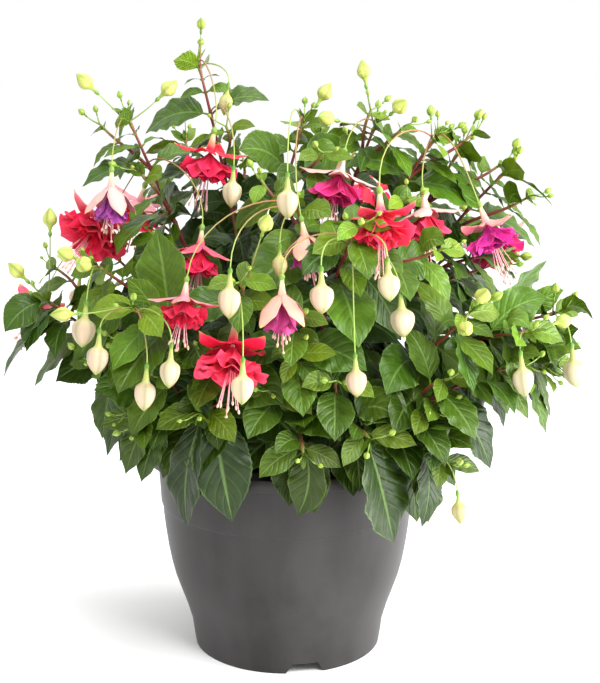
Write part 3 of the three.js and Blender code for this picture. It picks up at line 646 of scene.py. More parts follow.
# %% [markdown]
# A leaf's draws may have been tried more than once in the packed model, until it crossed nothing. The
# one that was kept left its tip as a corner of the stem's solid, so looking for that corner tells which
# one to grow. The same look-up tells which axil a bud or a bloom hangs from.

# %% Finding what the solids kept
FOUND = 0.05
corners = {}
for node_name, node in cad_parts.items():
    flat = np.empty(len(node.data.vertices) * 3)
    node.data.vertices.foreach_get("co", flat)
    corners[node_name] = flat.reshape(-1, 3) / MM


def kept(node_name, point):
    """Whether a node has a corner at a point."""
    gaps = ((corners[node_name] - point) ** 2).sum(axis=1)
    return gaps.min() < FOUND**2


print("corners of all the solids", sum(len(points) for points in corners.values()))

# %% [markdown]
# A bud starts as a green ovary, runs into a pale tube and swells into four sepals that are still shut.
# The big ones are cream and hang. Young ones are lime and stand out round the tips of the shoots. Each
# kind has its length in millimetres, and its radius and its colour at shares of that length, so one
# function can grow them all. In the solids a small bud's pedicel is straight and the others' are bent.

# %% Kinds of bud
LARGE_GIRTHS = [
    (0, 0.8), (0.03, 1.8), (0.08, 2.4), (0.13, 1.7), (0.2, 2.1), (0.34, 2.9), (0.4, 3.9), (0.435, 6.0),
    (0.48, 8.8), (0.55, 10.3), (0.64, 10.5), (0.74, 9.5), (0.85, 6.9), (0.93, 3.9), (0.975, 1.5), (1, 0.1),
]  # fmt: skip
SLIM_GIRTHS = [
    (0, 0.7), (0.06, 1.5), (0.13, 1.9), (0.19, 1.2), (0.28, 1.6), (0.36, 2.6), (0.44, 5.0), (0.54, 6.7),
    (0.64, 6.7), (0.76, 5.4), (0.88, 3.1), (0.96, 1.2), (1, 0.1),
]  # fmt: skip
SMALL_GIRTHS = [
    (0, 0.6), (0.14, 1.2), (0.25, 0.9), (0.36, 2.0), (0.5, 3.9), (0.64, 4.1), (0.8, 2.9), (0.94, 1.0),
    (1, 0.1),
]  # fmt: skip
CREAM = [
    (0, "#4a7a26"), (0.11, "#6c9334"), (0.16, "#9fad58"), (0.36, "#b1b56c"), (0.46, "#c6bf92"),
    (0.62, "#cfc3a0"), (0.84, "#c9bd96"), (0.95, "#a9ad66"), (1, "#8fa04c"),
]  # fmt: skip
STRAW = [(0, "#547f2c"), (0.16, "#78963b"), (0.36, "#acb263"), (0.6, "#c4c084"), (1, "#a0ac55")]
LIME = [(0, "#5f8c35"), (0.16, "#7ea03f"), (0.36, "#a9bb55"), (0.6, "#c0c96a"), (1, "#9db34a")]
GREEN = [(0, "#517d2c"), (0.3, "#779c38"), (0.6, "#9db548"), (1, "#7fa03c")]


class Form:
    """A kind of bud: its length, whether it hangs on a bent pedicel, and how it swells and colours."""

    def __init__(self, length, bent, hangs, girths, colours):
        self.length, self.bent, self.hangs = length, bent, hangs
        self.girths, self.colours = girths, colours


FORMS = {
    "large": Form(40, True, True, LARGE_GIRTHS, CREAM),
    "medium": Form(28, True, True, SLIM_GIRTHS, STRAW),
    "held": Form(25, True, False, SLIM_GIRTHS, LIME),
    "small": Form(15, False, False, SMALL_GIRTHS, GREEN),
}
print("kinds of bud", list(FORMS))

# %% [markdown]
# A bud hangs, or is held out, on a pedicel, a thin stalk from the axil of a leaf. Of the axils that it
# could come from, the nearest are tried first, and for one that hangs those above it. The curve is
# the solids' own, and a solid that has its corner at the middle of the curve is the one to grow it on.

# %% Pedicels
PEDICEL_RADIUS = 0.7
PEDICEL_LEAVE = np.array([0.3, 0.3, 0.0])
PEDICEL_LIFT = 0.16
PEDICEL_ARRIVE = 0.4
HANG_DROP = 34
HOLD_RISE = 6
LOW_AXIL_COST = 2
AXIL_TRIES = 12
STALK_ROWS = 12
STALK_TAPER = (0.68, 0.5)
STALK_END = linear("#9dbb5c")


def axils_near(at, hangs):
    """The leaf pairs, nearest first, that something at a place could grow from."""
    wanted = at + UP * (HANG_DROP if hangs else -HOLD_RISE)

    def cost(entry):
        below = max(0.0, at[2] - entry[1].at[2]) if hangs else 0.0
        return np.linalg.norm(entry[1].at - wanted) + LOW_AXIL_COST * below

    return sorted(all_pairs, key=cost)[:AXIL_TRIES]


def pedicel_curve(start, end, axis, shares):
    """A pedicel leaves its axil outwards and arrives along an axis."""
    span = np.linalg.norm(end - start)
    leave = (end - start) * PEDICEL_LEAVE + UP * PEDICEL_LIFT * span
    return bezier([start, start + leave, end - axis * PEDICEL_ARRIVE * span, end], shares)


def is_pedicel(name, start, end, axis):
    """Whether a shoot's solid has the one bend of this pedicel."""
    before, middle, after = pedicel_curve(start, end, axis, [0, 0.5, 1])
    heading = unit(after - before)
    across = squared(np.array([start[1] - end[1], end[0] - start[0], 0.01]), heading)
    return kept(name, middle + np.cross(heading, across) * PEDICEL_RADIUS)


def add_pedicel(growth, start, end, axis, shade):
    """A smooth pedicel that turns greener towards its bud."""
    share = np.linspace(0, 1, STALK_ROWS)
    path = pedicel_curve(start, end, axis, share)
    tint = lerp(linear(shade), STALK_END, share[:, None] ** 2)
    growth.grid(tube(path, lerp(*STALK_TAPER, share)), tint, ON_STEM, wrapped=True)


print("a pedicel is", 2 * STALK_TAPER[0], "mm thick at its axil and", 2 * STALK_TAPER[1], "at its bud")

# %% [markdown]
# A shut bud is round at its ovary and has four flat-sided sepals further on, with a seam between each
# two. It is grown as rings along its axis. The seams are drawn in by making the rings four-lobed and
# darkening them there with painted shade, which needs far fewer points than four real sepals would.
# Rose spreads down the middle of each sepal, more in one bud than in another.

# %% Growing a bud
SHORT_BUD = 20
SHORT_BUD_GRID = (16, 12)
LONG_BUD_GRID = (30, 16)
SHUT_FROM, SHUT_OVER = 0.38, 0.1
SEAM_DEPTH, SEAM_SHADE = 0.09, 0.35
ROSE_BLUSH = np.array([1.04, 0.68, 0.9])


def add_bud(growth, form, at, axis, draw, scale=1.0):
    """A bud: an ovary, a tube and four shut sepals with seams between them."""
    rows, sides = SHORT_BUD_GRID if form.length * scale < SHORT_BUD else LONG_BUD_GRID
    share = np.linspace(0, 1, rows)
    girth = profile(form.girths, share)[:, None] * scale
    across = turned(squared(np.array([0.7, 0.6, 0.2]), axis), axis, draw(0, 1.6))
    over = np.cross(axis, across)
    turn = around(sides)
    shut = np.clip((share - SHUT_FROM) / SHUT_OVER, 0, 1)[:, None]
    seams = 1 - SEAM_DEPTH * np.abs(np.cos(2 * turn)) ** 5 * shut
    plump = draw(0.84, 0.97)
    centres = at + axis * (share * form.length * scale)[:, None]
    frames = [np.tile(way, (rows, 1)) for way in (across, over)]
    points = rings(centres, *frames, girth * seams * plump, sides)
    plain = profile(form.colours, share)[:, None, :]
    blush = draw(0.35, 1.0) ** 2 if form.hangs else 0.0
    middle = np.abs(np.sin(2 * turn)) ** 2 * shut
    rosy = blush * middle * (1 - 0.5 * share[:, None])
    tint = lerp(plain, plain * ROSE_BLUSH, rosy[..., None])
    # Painted shade: each ring is darkened where a seam's groove runs.
    painted_seam_shade = SEAM_SHADE * np.abs(np.cos(2 * turn)) ** 14 * shut
    growth.grid(points, tint * (1 - painted_seam_shade)[..., None], ON_SEPAL, wrapped=True)


print("a long bud has", LONG_BUD_GRID[0], "rings of", LONG_BUD_GRID[1], "points")

# %% [markdown]
# The buds are where the photograph shows them, with some more behind. Each row has the kind of a bud
# and the end of the pedicel that carries it.

# %% Where the buds are
BUD_PLACES = [
    ("small", -71, 10, 531),
    ("medium", -48, 2, 492),
    ("held", -152, -30, 484),
    ("held", -107, -22, 478),
    ("held", 24, 12, 470),
    ("held", 44, -26, 462),
    ("held", 67, 2, 486),
    ("held", 85, -16, 466),
    ("small", 120, -12, 461),
    ("small", 157, 6, 457),
    ("small", 189, -2, 434),
    ("small", 192, -24, 350),
    ("small", 220, -56, 322),
    ("held", 212, -84, 304),
    ("held", 147, -128, 330),
    ("small", 158, -118, 330),
    ("held", 139, -134, 316),
    ("held", -212, -42, 330),
    ("held", -197, -24, 366),
    ("held", -162, -104, 361),
    ("held", -152, -116, 358),
    ("held", -153, -152, 328),
    ("held", -18, -152, 386),
    ("large", -41, -74, 432),
    ("large", 2, -137, 434),
    ("large", 27, -174, 369),
    ("large", 76, -170, 375),
    ("large", -84, -180, 312),
    ("large", -104, -166, 293),
    ("large", -140, -156, 318),
    ("large", -154, -124, 333),
    ("large", -40, -176, 368),
    ("medium", -4, -132, 379),
    ("large", 183, -126, 294),
    ("large", 231, -80, 289),
    ("medium", 135, -141, 184),
    ("large", 53, -162, 300),
    ("large", 88, -138, 344),
    ("large", -30, -208, 308),
    ("small", -166, 98, 362),
    ("large", -186, 66, 318),
    ("small", -92, 98, 456),
    ("large", -96, 176, 300),
    ("held", -50, 186, 336),
    ("large", 30, 196, 302),
    ("large", 136, 156, 316),
    ("held", 168, 132, 360),
]
print("buds", {kind: sum(row[0] == kind for row in BUD_PLACES) for kind in FORMS})

# %% [markdown]
# Each bud is grown on the axil that its solid uses. Where more than one axil fits, the one with the
# right pedicel is taken. Big buds vary in size from one to the next, and their stalks in colour.

# %% Buds
BUD_SEED = 9000
BUD_LEAN = 0.15
BUD_SCALES = (0.84, 0.96)
RED_STALKS = 0.4
RED_STALK, GREEN_STALK = "#9a5a48", "#8b9a4a"


def bud_axis(form, at, pair):
    """A hanging bud points down and a little outwards, a held one away from its axil."""
    return unit(unit(at * [1, 1, 0]) * BUD_LEAN - UP) if form.hangs else unit(at - pair.at)


buds_found = 0
for index, (kind, *place) in enumerate(BUD_PLACES):
    at = np.array(place, float)
    form = FORMS[kind]
    draw = draws(BUD_SEED + index)
    fits = []
    for shoot, pair in axils_near(at, form.hangs):
        axis = bud_axis(form, at, pair)
        if kept(shoot["name"], at + axis * form.length):
            sure = not form.bent or is_pedicel(shoot["name"], pair.axil(), at, axis)
            fits.append((sure, shoot, pair, axis))
    if not fits:
        continue
    _, shoot, pair, axis = max(fits, key=lambda fit: fit[0])
    shade = GREEN_STALK if draw(0, 1) > RED_STALKS else RED_STALK
    add_pedicel(shoot["growth"], pair.axil(), at, axis, shade)
    add_bud(shoot["growth"], form, at, axis, draw, draw(*BUD_SCALES) if kind == "large" else 1.0)
    pair.carried += 1
    buds_found += 1
print("buds grown", buds_found, "of", len(BUD_PLACES))

# %% [markdown]
# A bloom hangs from its pedicel in this order: ovary, tube, four sepals that spread or curl back, a
# double skirt of ruffled petals, and eight stamens with a longer style. It is laid out in its own
# directions, down its axis and out from it, so that one description serves however it faces. A row
# has the place of its ovary, the way it faces and its tilt in degrees, how far it is open, its size,
# and how many degrees it is turned about its own axis. Five of the blooms stand at the back or sides.
# In the solids the stalk of a bloom ends a small clearance before its ovary, here it meets it.

# %% Where the blooms hang
CLEARANCE = 0.3
BLOOM_PLACES = [
    ((-142, -20, 394), 235, 55, 1, 1.08, 20),
    ((-58, -30, 458), 200, 12, 1, 0.95, 10),
    ((-38, -140, 324), 262, 30, 0.9, 1.12, 40),
    ((48, -50, 443), 215, 16, 0.8, 0.95, 0),
    ((72, -122, 421), 275, 22, 0.95, 1, 30),
    ((110, -60, 413), 300, 14, 0.7, 0.86, 15),
    ((156, -50, 400), 330, 24, 0.9, 0.9, 55),
    ((-66, -82, 386), 245, 14, 0.6, 0.85, 25),
    ((-74, -146, 356), 250, 20, 0.8, 0.8, 5),
    ((-2, -166, 362), 270, 2, 0.25, 0.85, 45),
    ((12, -112, 397), 320, 14, 0.35, 0.8, 20),
    ((-138, -72, 431), 250, 6, 0.25, 0.84, 60),
    ((-128, 96, 398), 140, 22, 0.9, 1, 35),
    ((68, 132, 408), 70, 20, 1, 1, 5),
    ((-24, 176, 340), 95, 26, 0.8, 1, 50),
    ((176, 72, 372), 20, 24, 0.9, 1, 15),
    ((-204, 16, 322), 175, 26, 0.9, 0.95, 30),
]


class Bloom:
    """A bloom's place and the directions that its parts are laid out in."""

    def __init__(self, at, turn, tilt, opening, size, spin):
        self.at, self.open, self.size, self.spin = np.array(at, float), opening, size, math.radians(spin)
        slope = math.radians(tilt)
        self.axis = turned(np.array([math.sin(slope), 0.0, -math.cos(slope)]), UP, math.radians(turn))
        helper = UP if abs(self.axis[2]) < 0.9 else np.array([1.0, 0.0, 0.0])
        self.across = unit(np.cross(helper, self.axis))
        self.over = unit(np.cross(self.axis, self.across))

    def points(self, down, out, turn):
        """Points by their distance down the axis, out from it and round it."""
        down, out, turn = np.broadcast_arrays(down, out, turn)
        return (
            self.at
            + self.axis * (down * self.size)[..., None]
            + self.across * (out * self.size * np.cos(turn))[..., None]
            + self.over * (out * self.size * np.sin(turn))[..., None]
        )


blooms = [Bloom(*row) for row in BLOOM_PLACES]
blooms_found = 0
for bloom in blooms:
    end = bloom.at - bloom.axis * CLEARANCE
    for shoot, pair in axils_near(bloom.at, True):
        if is_pedicel(shoot["name"], pair.axil(), end, bloom.axis):
            add_pedicel(shoot["growth"], pair.axil(), bloom.at, bloom.axis, "#a0644a")
            pair.carried += 1
            blooms_found += 1
            break
print("blooms hung", blooms_found, "of", len(blooms))

# %% [markdown]
# A fuchsia leaf leaves its stem upwards and outwards and droops under its own weight. Its midrib is a
# curve with one knee, which is enough for such a bend. Its face looks where the light is: out from the
# plant, a little to the front, and up. Each leaf has draws of its own, and each further try turns it
# a little more, as in the packed model.

# %% Where a leaf goes
LIGHT_LEAN = 40
LIGHT_LIFT = 0.62
DROOP_PER_RANK = 0.28
TRY_STRIDE = 7919
SEED_STRIDE = 31
TRY_SHRINK = 0.05


class Leaf:
    """A leaf's midrib, a curve from the stem past a knee to its tip, and what its face looks at."""

    def __init__(self, at, knee, tip, light, wave):
        self.at, self.knee, self.tip, self.light, self.wave = at, knee, tip, light, wave
        self.length = np.linalg.norm(knee - at) + np.linalg.norm(tip - knee)

    def sections(self, shares):
        """Points of the midrib, with the ways across the blade and out of its face at each."""
        t = np.asarray(shares, float)[:, None]
        middle = self.at * (1 - t) ** 2 + 2 * self.knee * t * (1 - t) + self.tip * t**2
        heading = (self.knee - self.at) * (1 - t) + (self.tip - self.knee) * t
        heading /= np.linalg.norm(heading, axis=1)[:, None]
        level = np.cross(self.tip - self.at, self.light)
        across = level - heading * (heading @ level)[:, None]
        across /= np.linalg.norm(across, axis=1)[:, None]
        return middle, across, np.cross(across, heading)


def bent_leaf(at, start, end, length, light, wave):
    """A leaf that goes half its length one way and half another."""
    knee = at + start * length / 2
    return Leaf(at, knee, knee + end * length / 2, light, wave)


def leaf_draw(seed, pair, side, attempt, length):
    """The leaf that one try of the draws gives on one side of a pair."""
    draw = draws(seed * SEED_STRIDE + attempt * TRY_STRIDE)
    turn = pair.rank * 90 + side * 180 + draw(-14, 14) + attempt * draw(-22, 22)
    out = turned(pair.level, pair.heading, math.radians(turn))
    spread = math.radians(draw(52, 72))
    start = pair.heading * math.cos(spread) + out * math.sin(spread)
    droop = draw(0.5, 1) + DROOP_PER_RANK * pair.rank
    end = unit(start - UP * droop)
    length *= draw(0.86, 1.14) * (1 - TRY_SHRINK * attempt)
    light = unit(np.array([pair.at[0], pair.at[1] - LIGHT_LEAN, 0.0])) + UP * LIGHT_LIFT
    return bent_leaf(pair.at, start, end, length, light, draw(-1, 1))


shown = leaf_draw(0, all_pairs[0][1], 0, 0, PAIR_LENGTHS[0])
print("the first leaf is", round(shown.length, 1), "mm long and ends at", shown.tip.round(1))

# %% [markdown]
# New leaves are lime and fill out to a deeper green as they age. Those near the middle of the plant
# stand in the shade of the rest, and so do the lowest ones. The deeper tints do part of what the
# shadows would, and they also keep a dark gap between leaves dark. No two leaves are quite alike.

# %% Tint of a leaf
AGE_GREENS = [linear(green) for green in ("#648a22", "#4a711e", "#395d1a", "#2f4f17")]
INNER_GREEN = linear("#1d340d")
PLANT_MIDDLE = np.array([0.0, 0.0, 300.0])
PLANT_REACH = 200
LEAST_TINT = 0.3
SHADE_HEIGHTS = (190, 300, 360, 450)
SHADES = (0.34, 0.76, 0.86, 0.8)


def leaf_tint(leaf, rank, draw):
    """Young leaves are lime, full ones darker, and those near the plant's middle darker still."""
    step = min(int(rank), len(AGE_GREENS) - 2)
    tint = lerp(AGE_GREENS[step], AGE_GREENS[step + 1], min(rank - step, 1.0))
    middle = leaf.sections([0.6])[0][0]
    outness = np.linalg.norm(middle - PLANT_MIDDLE) / PLANT_REACH
    tint = lerp(INNER_GREEN, tint, np.clip(1.9 * outness - 0.3, LEAST_TINT, 1.0))
    tint = tint * np.interp(middle[2], SHADE_HEIGHTS, SHADES)
    return tint * draw(0.74, 1.24) * np.array([draw(0.98, 1.24), 0.98, draw(0.3, 0.7)])


print("tint of the first leaf", leaf_tint(shown, 0, draws(0)).round(3))

# %% [markdown]
# A fuchsia leaf is a broad oval drawn out to a point, on a short stalk. It folds a little along its
# midrib, rolls as it droops, and has fine teeth along its margins. It is laid out as rows across the
# midrib, which is itself a curve, so the blade follows the bend without being bent afterwards. Every
# second row is a tooth wider at the margin. Short leaves get fewer rows, because no more would show.

# %% Growing a leaf
WIDTH_SHARE = 0.56
STALK_SHARE = 0.1
STALK_OVERLAP = 0.03
STALK_POINTS = 5
STALK_RADII = (1.15, 0.7)
STALK_RANK = 0.4
LARGE_LEAF = 46
LARGE_LEAF_GRID = (34, 9)
SMALL_LEAF_GRID = (24, 7)
NARROW_LENGTH, FULL_LENGTH = 15, 60
NARROWEST = 0.72
TOOTH = 0.035
ROLL_PLACES, ROLLS = (0, 0.3, 0.66, 1), (0, 0.08, -0.16, 0)
RIPPLES = (0.02, 0.075)
FOOT_PALENESS = 1.12
BLADE_WIDTHS = [
    (0, 0.03), (0.05, 0.26), (0.12, 0.54), (0.22, 0.8), (0.34, 0.95), (0.46, 1.0), (0.58, 0.96),
    (0.7, 0.81), (0.8, 0.58), (0.88, 0.35), (0.94, 0.16), (1, 0.0),
]  # fmt: skip


def grow_leaf_stalk(growth, leaf, draw):
    """The stalk, which runs a little way into the blade."""
    path = leaf.sections(np.linspace(0, STALK_SHARE + STALK_OVERLAP, STALK_POINTS))[0]
    radii = np.linspace(*STALK_RADII, STALK_POINTS)
    growth.grid(tube(path, radii, 5), leaf_tint(leaf, STALK_RANK, draw), ON_STEM, wrapped=True)


def grow_leaf(growth, leaf, rank, draw, breadth=1.0):
    """A stalk and a toothed blade, laid out in rows across the midrib."""
    grow_leaf_stalk(growth, leaf, draw)
    rows, columns = LARGE_LEAF_GRID if leaf.length > LARGE_LEAF else SMALL_LEAF_GRID
    share = np.linspace(0, 1, rows)
    middle, across, over = leaf.sections(STALK_SHARE + (1 - STALK_SHARE) * share)
    full = np.clip((leaf.length - NARROW_LENGTH) / (FULL_LENGTH - NARROW_LENGTH), 0, 1)
    half = WIDTH_SHARE * leaf.length / 2 * draw(0.86, 1.02) * profile(BLADE_WIDTHS, share)
    half = (half * lerp(NARROWEST, 1.0, full) * breadth)[:, None]
    side = np.linspace(-1, 1, columns)
    toothed = 1 + TOOTH * (np.arange(rows)[:, None] % 2) * (np.abs(side) > 0.99)
    wide = half * side * toothed
    roll = leaf.wave * np.interp(share, ROLL_PLACES, ROLLS)[:, None] * side
    fold = draw(0.18, 0.36) * np.abs(side) - 0.14 * side**2
    waves = draw(3, 4.5)
    phase = 2 * math.pi * (waves * share[:, None] + draw(0, 1)) + 1.2 * side
    ripple = lerp(*RIPPLES, full) * np.abs(side) ** 3 * np.sin(phase)
    lift = half * (fold + roll + ripple)
    points = middle[:, None, :] + across[:, None, :] * wide[..., None] + over[:, None, :] * lift[..., None]
    tint = leaf_tint(leaf, rank, draw)
    growth.grid(points, lerp(tint * FOOT_PALENESS, tint, share[:, None] ** 0.5), ON_LEAF)


print("rows of a leaf of", PAIR_LENGTHS[2], "mm lie", round(PAIR_LENGTHS[2] / LARGE_LEAF_GRID[0], 1), "apart")

# %% [markdown]
# The leaves of the solids come first, because they give the plant its outline. Each solid is asked
# which try of the draws it kept, and the same leaf is then grown in full.

# %% Leaves of the solids
LEAF_TRIES = 7
BLADE_SEED = 50000


def place_seed(index, branch, order, side):
    """A number for each leaf: its shoot, its stem on that, its pair and its side of the pair."""
    return index * 64 + branch * 32 + order * 2 + side


leaves = 0
for index, shoot in enumerate(shoots):
    for order, pair in enumerate(shoot["pairs"]):
        for side in range(2):
            seed = place_seed(index, 0, order, side)
            for attempt in range(LEAF_TRIES):
                leaf = leaf_draw(seed, pair, side, attempt, PAIR_LENGTHS[pair.rank])
                if kept(shoot["name"], leaf.tip):
                    grow_leaf(shoot["growth"], leaf, pair.rank, draws(BLADE_SEED + seed))
                    leaves += 1
                    break
print("leaves of the solids grown again", leaves)

# %% [markdown]
# Between the big pairs sit smaller ones, which fill the dome. The solids have no room for them in
# their triangles, so they are only here. None of them may reach out of the packed model's box, so one
# whose outer half would is left out. Low leaves grow larger than high ones, as in the photograph.

# %% Leaves between the pairs
BETWEEN = ((18, 1.5, 30), (29, 1.0, 48), (72, 2.0, 62), (124, 3.0, 66), (186, 4.0, 72), (214, 5.0, 66))
BETWEEN_LOWEST = 190
BETWEEN_SEED, BETWEEN_BLADE_SEED = 7000, 60000
VIGOUR_HEIGHTS, VIGOURS = (230, 330, 460), (1.2, 1.0, 0.7)
OLDEST = 3
BOX_MARGIN = 4
BOX_LOW = np.array(cad_box[0]) / MM
BOX_HIGH = np.array(cad_box[1]) / MM


def inside_box(leaf):
    """Whether the outer half of a leaf's midrib stays in the packed model's box."""
    points = leaf.sections([0.5, 0.75, 1])[0]
    return (points > BOX_LOW + BOX_MARGIN).all() and (points < BOX_HIGH - BOX_MARGIN).all()


between = 0
for index, shoot in enumerate(shoots):
    for branch, route in enumerate(shoot["routes"]):
        bare = FORK_BARE if branch else SHOOT_BARE
        for order, (distance, rank, length) in enumerate(BETWEEN):
            pair = Pair(route, distance, rank)
            if distance > route.back[0] - bare or pair.at[2] < BETWEEN_LOWEST:
                continue
            for side in range(2):
                seed = BETWEEN_SEED + place_seed(index, branch, order, side)
                vigour = np.interp(pair.at[2], VIGOUR_HEIGHTS, VIGOURS)
                leaf = leaf_draw(seed, pair, side, 0, length * vigour)
                if inside_box(leaf):
                    age = min(rank - 0.4, OLDEST)
                    grow_leaf(shoot["growth"], leaf, age, draws(BETWEEN_BLADE_SEED + seed))
                    between += 1
print("leaves between the pairs", between)

# %% [markdown]
# Each tip ends in a tuft of leaves that are only just opening. They stand close round the tip, half
# folded forwards, and get shorter towards it. A row has their distance back from the tip and their
# length, in millimetres.

# %% Tufts at the tips
TUFT = ((4, 17), (1.5, 12), (0, 8))
TUFT_SEED, TUFT_BLADE_STEP = 20000, 9
TUFT_BEND = 0.5
TUFT_DROOP = 0.2

tufts = 0
for index, shoot in enumerate(shoots):
    for branch, route in enumerate(shoot["routes"]):
        for order, (distance, length) in enumerate(TUFT):
            pair = Pair(route, distance, order + 1)
            for side in range(2):
                seed = TUFT_SEED + place_seed(index, branch, order, side)
                draw = draws(seed)
                turn = math.radians(90 * order + 180 * side + draw(-20, 20))
                out = turned(pair.level, pair.heading, turn)
                start = unit(pair.heading + out * draw(0.45, 0.8))
                end = unit(start + out * TUFT_BEND - UP * TUFT_DROOP)
                length *= draw(0.85, 1.2)
                leaf = bent_leaf(pair.at, start, end, length, out + UP, draw(-1, 1))
                grow_leaf(shoot["growth"], leaf, 0, draws(seed + TUFT_BLADE_STEP))
                tufts += 1
print("leaves in tufts", tufts)

# %% [markdown]
# On the real plant some long leaves hang over the rim in front of the pot, and others reach out at
# the sides. Opposite pairs at set distances give none of them, so these are listed one by one. The last
# three stand in front of a bloom at the far left, where the photograph shows only leaves. A row has
# the shoot and the distance back from its tip, the midrib's knee and its end, the leaf's age, how
# broad it is, and how far its face is turned from straight out towards the front.

# %% Long leaves over the rim and at the sides
LONG_BLADE_SEED = 95000
FRONT = 400
LONG_FACE_TURN, LONG_FACE_LIFT = 0.5, 0.4
LONG_WAVE = 0.7
LONG_LEAVES = [
    (15, 20, (-52, -148, 214), (-42, -138, 156), 2.6, 0.82, 0),
    (15, 8, (-84, -143, 202), (-78, -134, 150), 3.0, 0.74, 0),
    (16, 8, (76, -150, 187), (86, -136, 138), 2.8, 1.0, 0),
    (14, 12, (26, -152, 196), (9, -144, 163), 0.7, 0.86, 0),
    (13, 30, (120, -130, 188), (108, -134, 150), 2.4, 0.9, 0),
    (9, 26, (-220, -50, 288), (-235, -58, 252), 1.6, 0.8, 0),
    (7, 4, (239, -54, 322), (251, -66, 304), 0.9, 0.9, 0),
    (6, 8, (204, -8, 413), (223, -20, 390), 1.1, 0.62, 0),
    (8, 20, (140, -128, 284), (146, -140, 262), 1.6, 0.9, 0),
    (9, 14, (-208, -56, 308), (-214, -60, 276), 2.2, 1.05, FRONT),
    (9, 5, (-218, -54, 316), (-232, -56, 292), 1.5, 1.1, FRONT),
    (9, 32, (-190, -58, 300), (-190, -62, 270), 1.8, 1.0, FRONT),
]
for number, (index, distance, knee, tip, age, breadth, lean) in enumerate(LONG_LEAVES):
    at = shoots[index]["routes"][0].place(distance)[0]
    way = (-1) ** number
    face = np.array([LONG_FACE_TURN * way, 0.0, LONG_FACE_LIFT])
    light = unit(np.array([tip[0], tip[1] - lean, 0.0])) + face
    leaf = Leaf(at, np.array(knee, float), np.array(tip, float), light, LONG_WAVE * way)
    grow_leaf(shoots[index]["growth"], leaf, age, draws(LONG_BLADE_SEED + number), breadth)
print("long leaves", len(LONG_LEAVES))

# %% [markdown]
# The real plant is fuller than its main shoots alone, because short twigs leave them all over. Each
# twig is given by its tip. It leaves the nearest stem that lies behind and below, and carries leaf
# pairs that get bigger away from the tip. A pair has its distance back and its leaves' length.

# %% Twigs
TWIG_TIPS = [
    (70, -12, 470), (97, -24, 458), (126, -12, 450), (158, -4, 452), (205, -6, 398), (182, 6, 424),
    (240, -40, 292), (214, -62, 262), (192, -94, 272), (112, -128, 244), (128, -126, 270),
    (-156, -84, 272), (-126, -106, 236), (-132, -106, 298), (-196, -24, 342), (-50, -6, 456),
    (-104, -60, 372), (-154, -12, 458), (98, -62, 404), (226, -44, 262), (-104, -122, 272),
    (30, -60, 440), (60, 60, 430), (-40, 90, 420), (130, 80, 400), (-120, 110, 360), (10, 150, 360),
    (110, 150, 320), (-150, 60, 300), (190, 60, 330), (-60, 170, 270), (60, 190, 262), (-20, -70, 420),
    (-10, -130, 262), (40, -140, 272), (-60, -130, 286), (-34, -152, 352), (58, -148, 396),
    (8, -152, 326), (122, -118, 372), (-82, -112, 240), (92, -106, 236),
]  # fmt: skip
TWIG_PAIRS = ((5, 33), (21, 50), (44, 60), (70, 64), (96, 64))
TWIG_SEED, TWIG_BLADE_SEED = 30000, 70000
TWIG_BARE = 12
TWIG_AGE_STEP = 0.8
TWIG_HEIGHTS, TWIG_VIGOURS = (230, 300, 460), (1.24, 1.08, 0.72)
LEVEL_TWIG, TWIG_PITCH_EVERY, TWIG_PITCHES = 250, 4, (-20, 55)
FOOT_INWARDS = np.array([0.7, 0.7, 1.0])
FOOT_BELOW = 38
FOOT_FROM_TIP, FOOT_FROM_ROOT, FOOT_STEP = 14, 40, 6


def twig_foot(tip):
    """The shoot, and the place on one of its stems, that a twig to this tip would leave from."""
    wanted = tip * FOOT_INWARDS - UP * FOOT_BELOW
    feet = []
    for shoot in shoots:
        for route in shoot["routes"]:
            for back in np.arange(FOOT_FROM_TIP, route.back[0] - FOOT_FROM_ROOT, FOOT_STEP):
                feet.append((np.linalg.norm(route.place(back)[0] - wanted), shoot, route, back))
    return min(feet, key=lambda foot: foot[0])[1:]


twigs = []
for number, tip in enumerate(TWIG_TIPS):
    tip = np.array(tip, float)
    shoot, parent, back = twig_foot(tip)
    pitch = np.clip((tip[2] - LEVEL_TWIG) / TWIG_PITCH_EVERY, *TWIG_PITCHES)
    twig = fork_route(parent, tip, float(pitch), back)
    twigs.append((shoot, twig))
    vigour = np.interp(tip[2], TWIG_HEIGHTS, TWIG_VIGOURS)
    for order, (distance, length) in enumerate(TWIG_PAIRS):
        if distance > twig.back[0] - TWIG_BARE:
            continue
        pair = Pair(twig, distance, order)
        for side in range(2):
            seed = TWIG_SEED + number * 16 + order * 2 + side
            leaf = leaf_draw(seed, pair, side, 0, length * vigour)
            if inside_box(leaf):
                age = min(order * TWIG_AGE_STEP, OLDEST)
                grow_leaf(shoot["growth"], leaf, age, draws(TWIG_BLADE_SEED + seed))
for shoot, twig in twigs:
    shoot["routes"].append(twig)
print("twigs", len(twigs))

# %% [markdown]
# A shoot in flower keeps making buds at its tip. The newest are only a few millimetres long and stand
# out from the tuft on short green stalks. They are the small kind of bud again, scaled down, two to a
# tip, and one that would reach out of the packed model's box is left out.

# %% Buds at the tips
TIP_BUD_SEED = 80000
TIP_BUD_REACH = 12
TIP_BUD_MARGIN = 6
TIP_BUD_RISE = 3

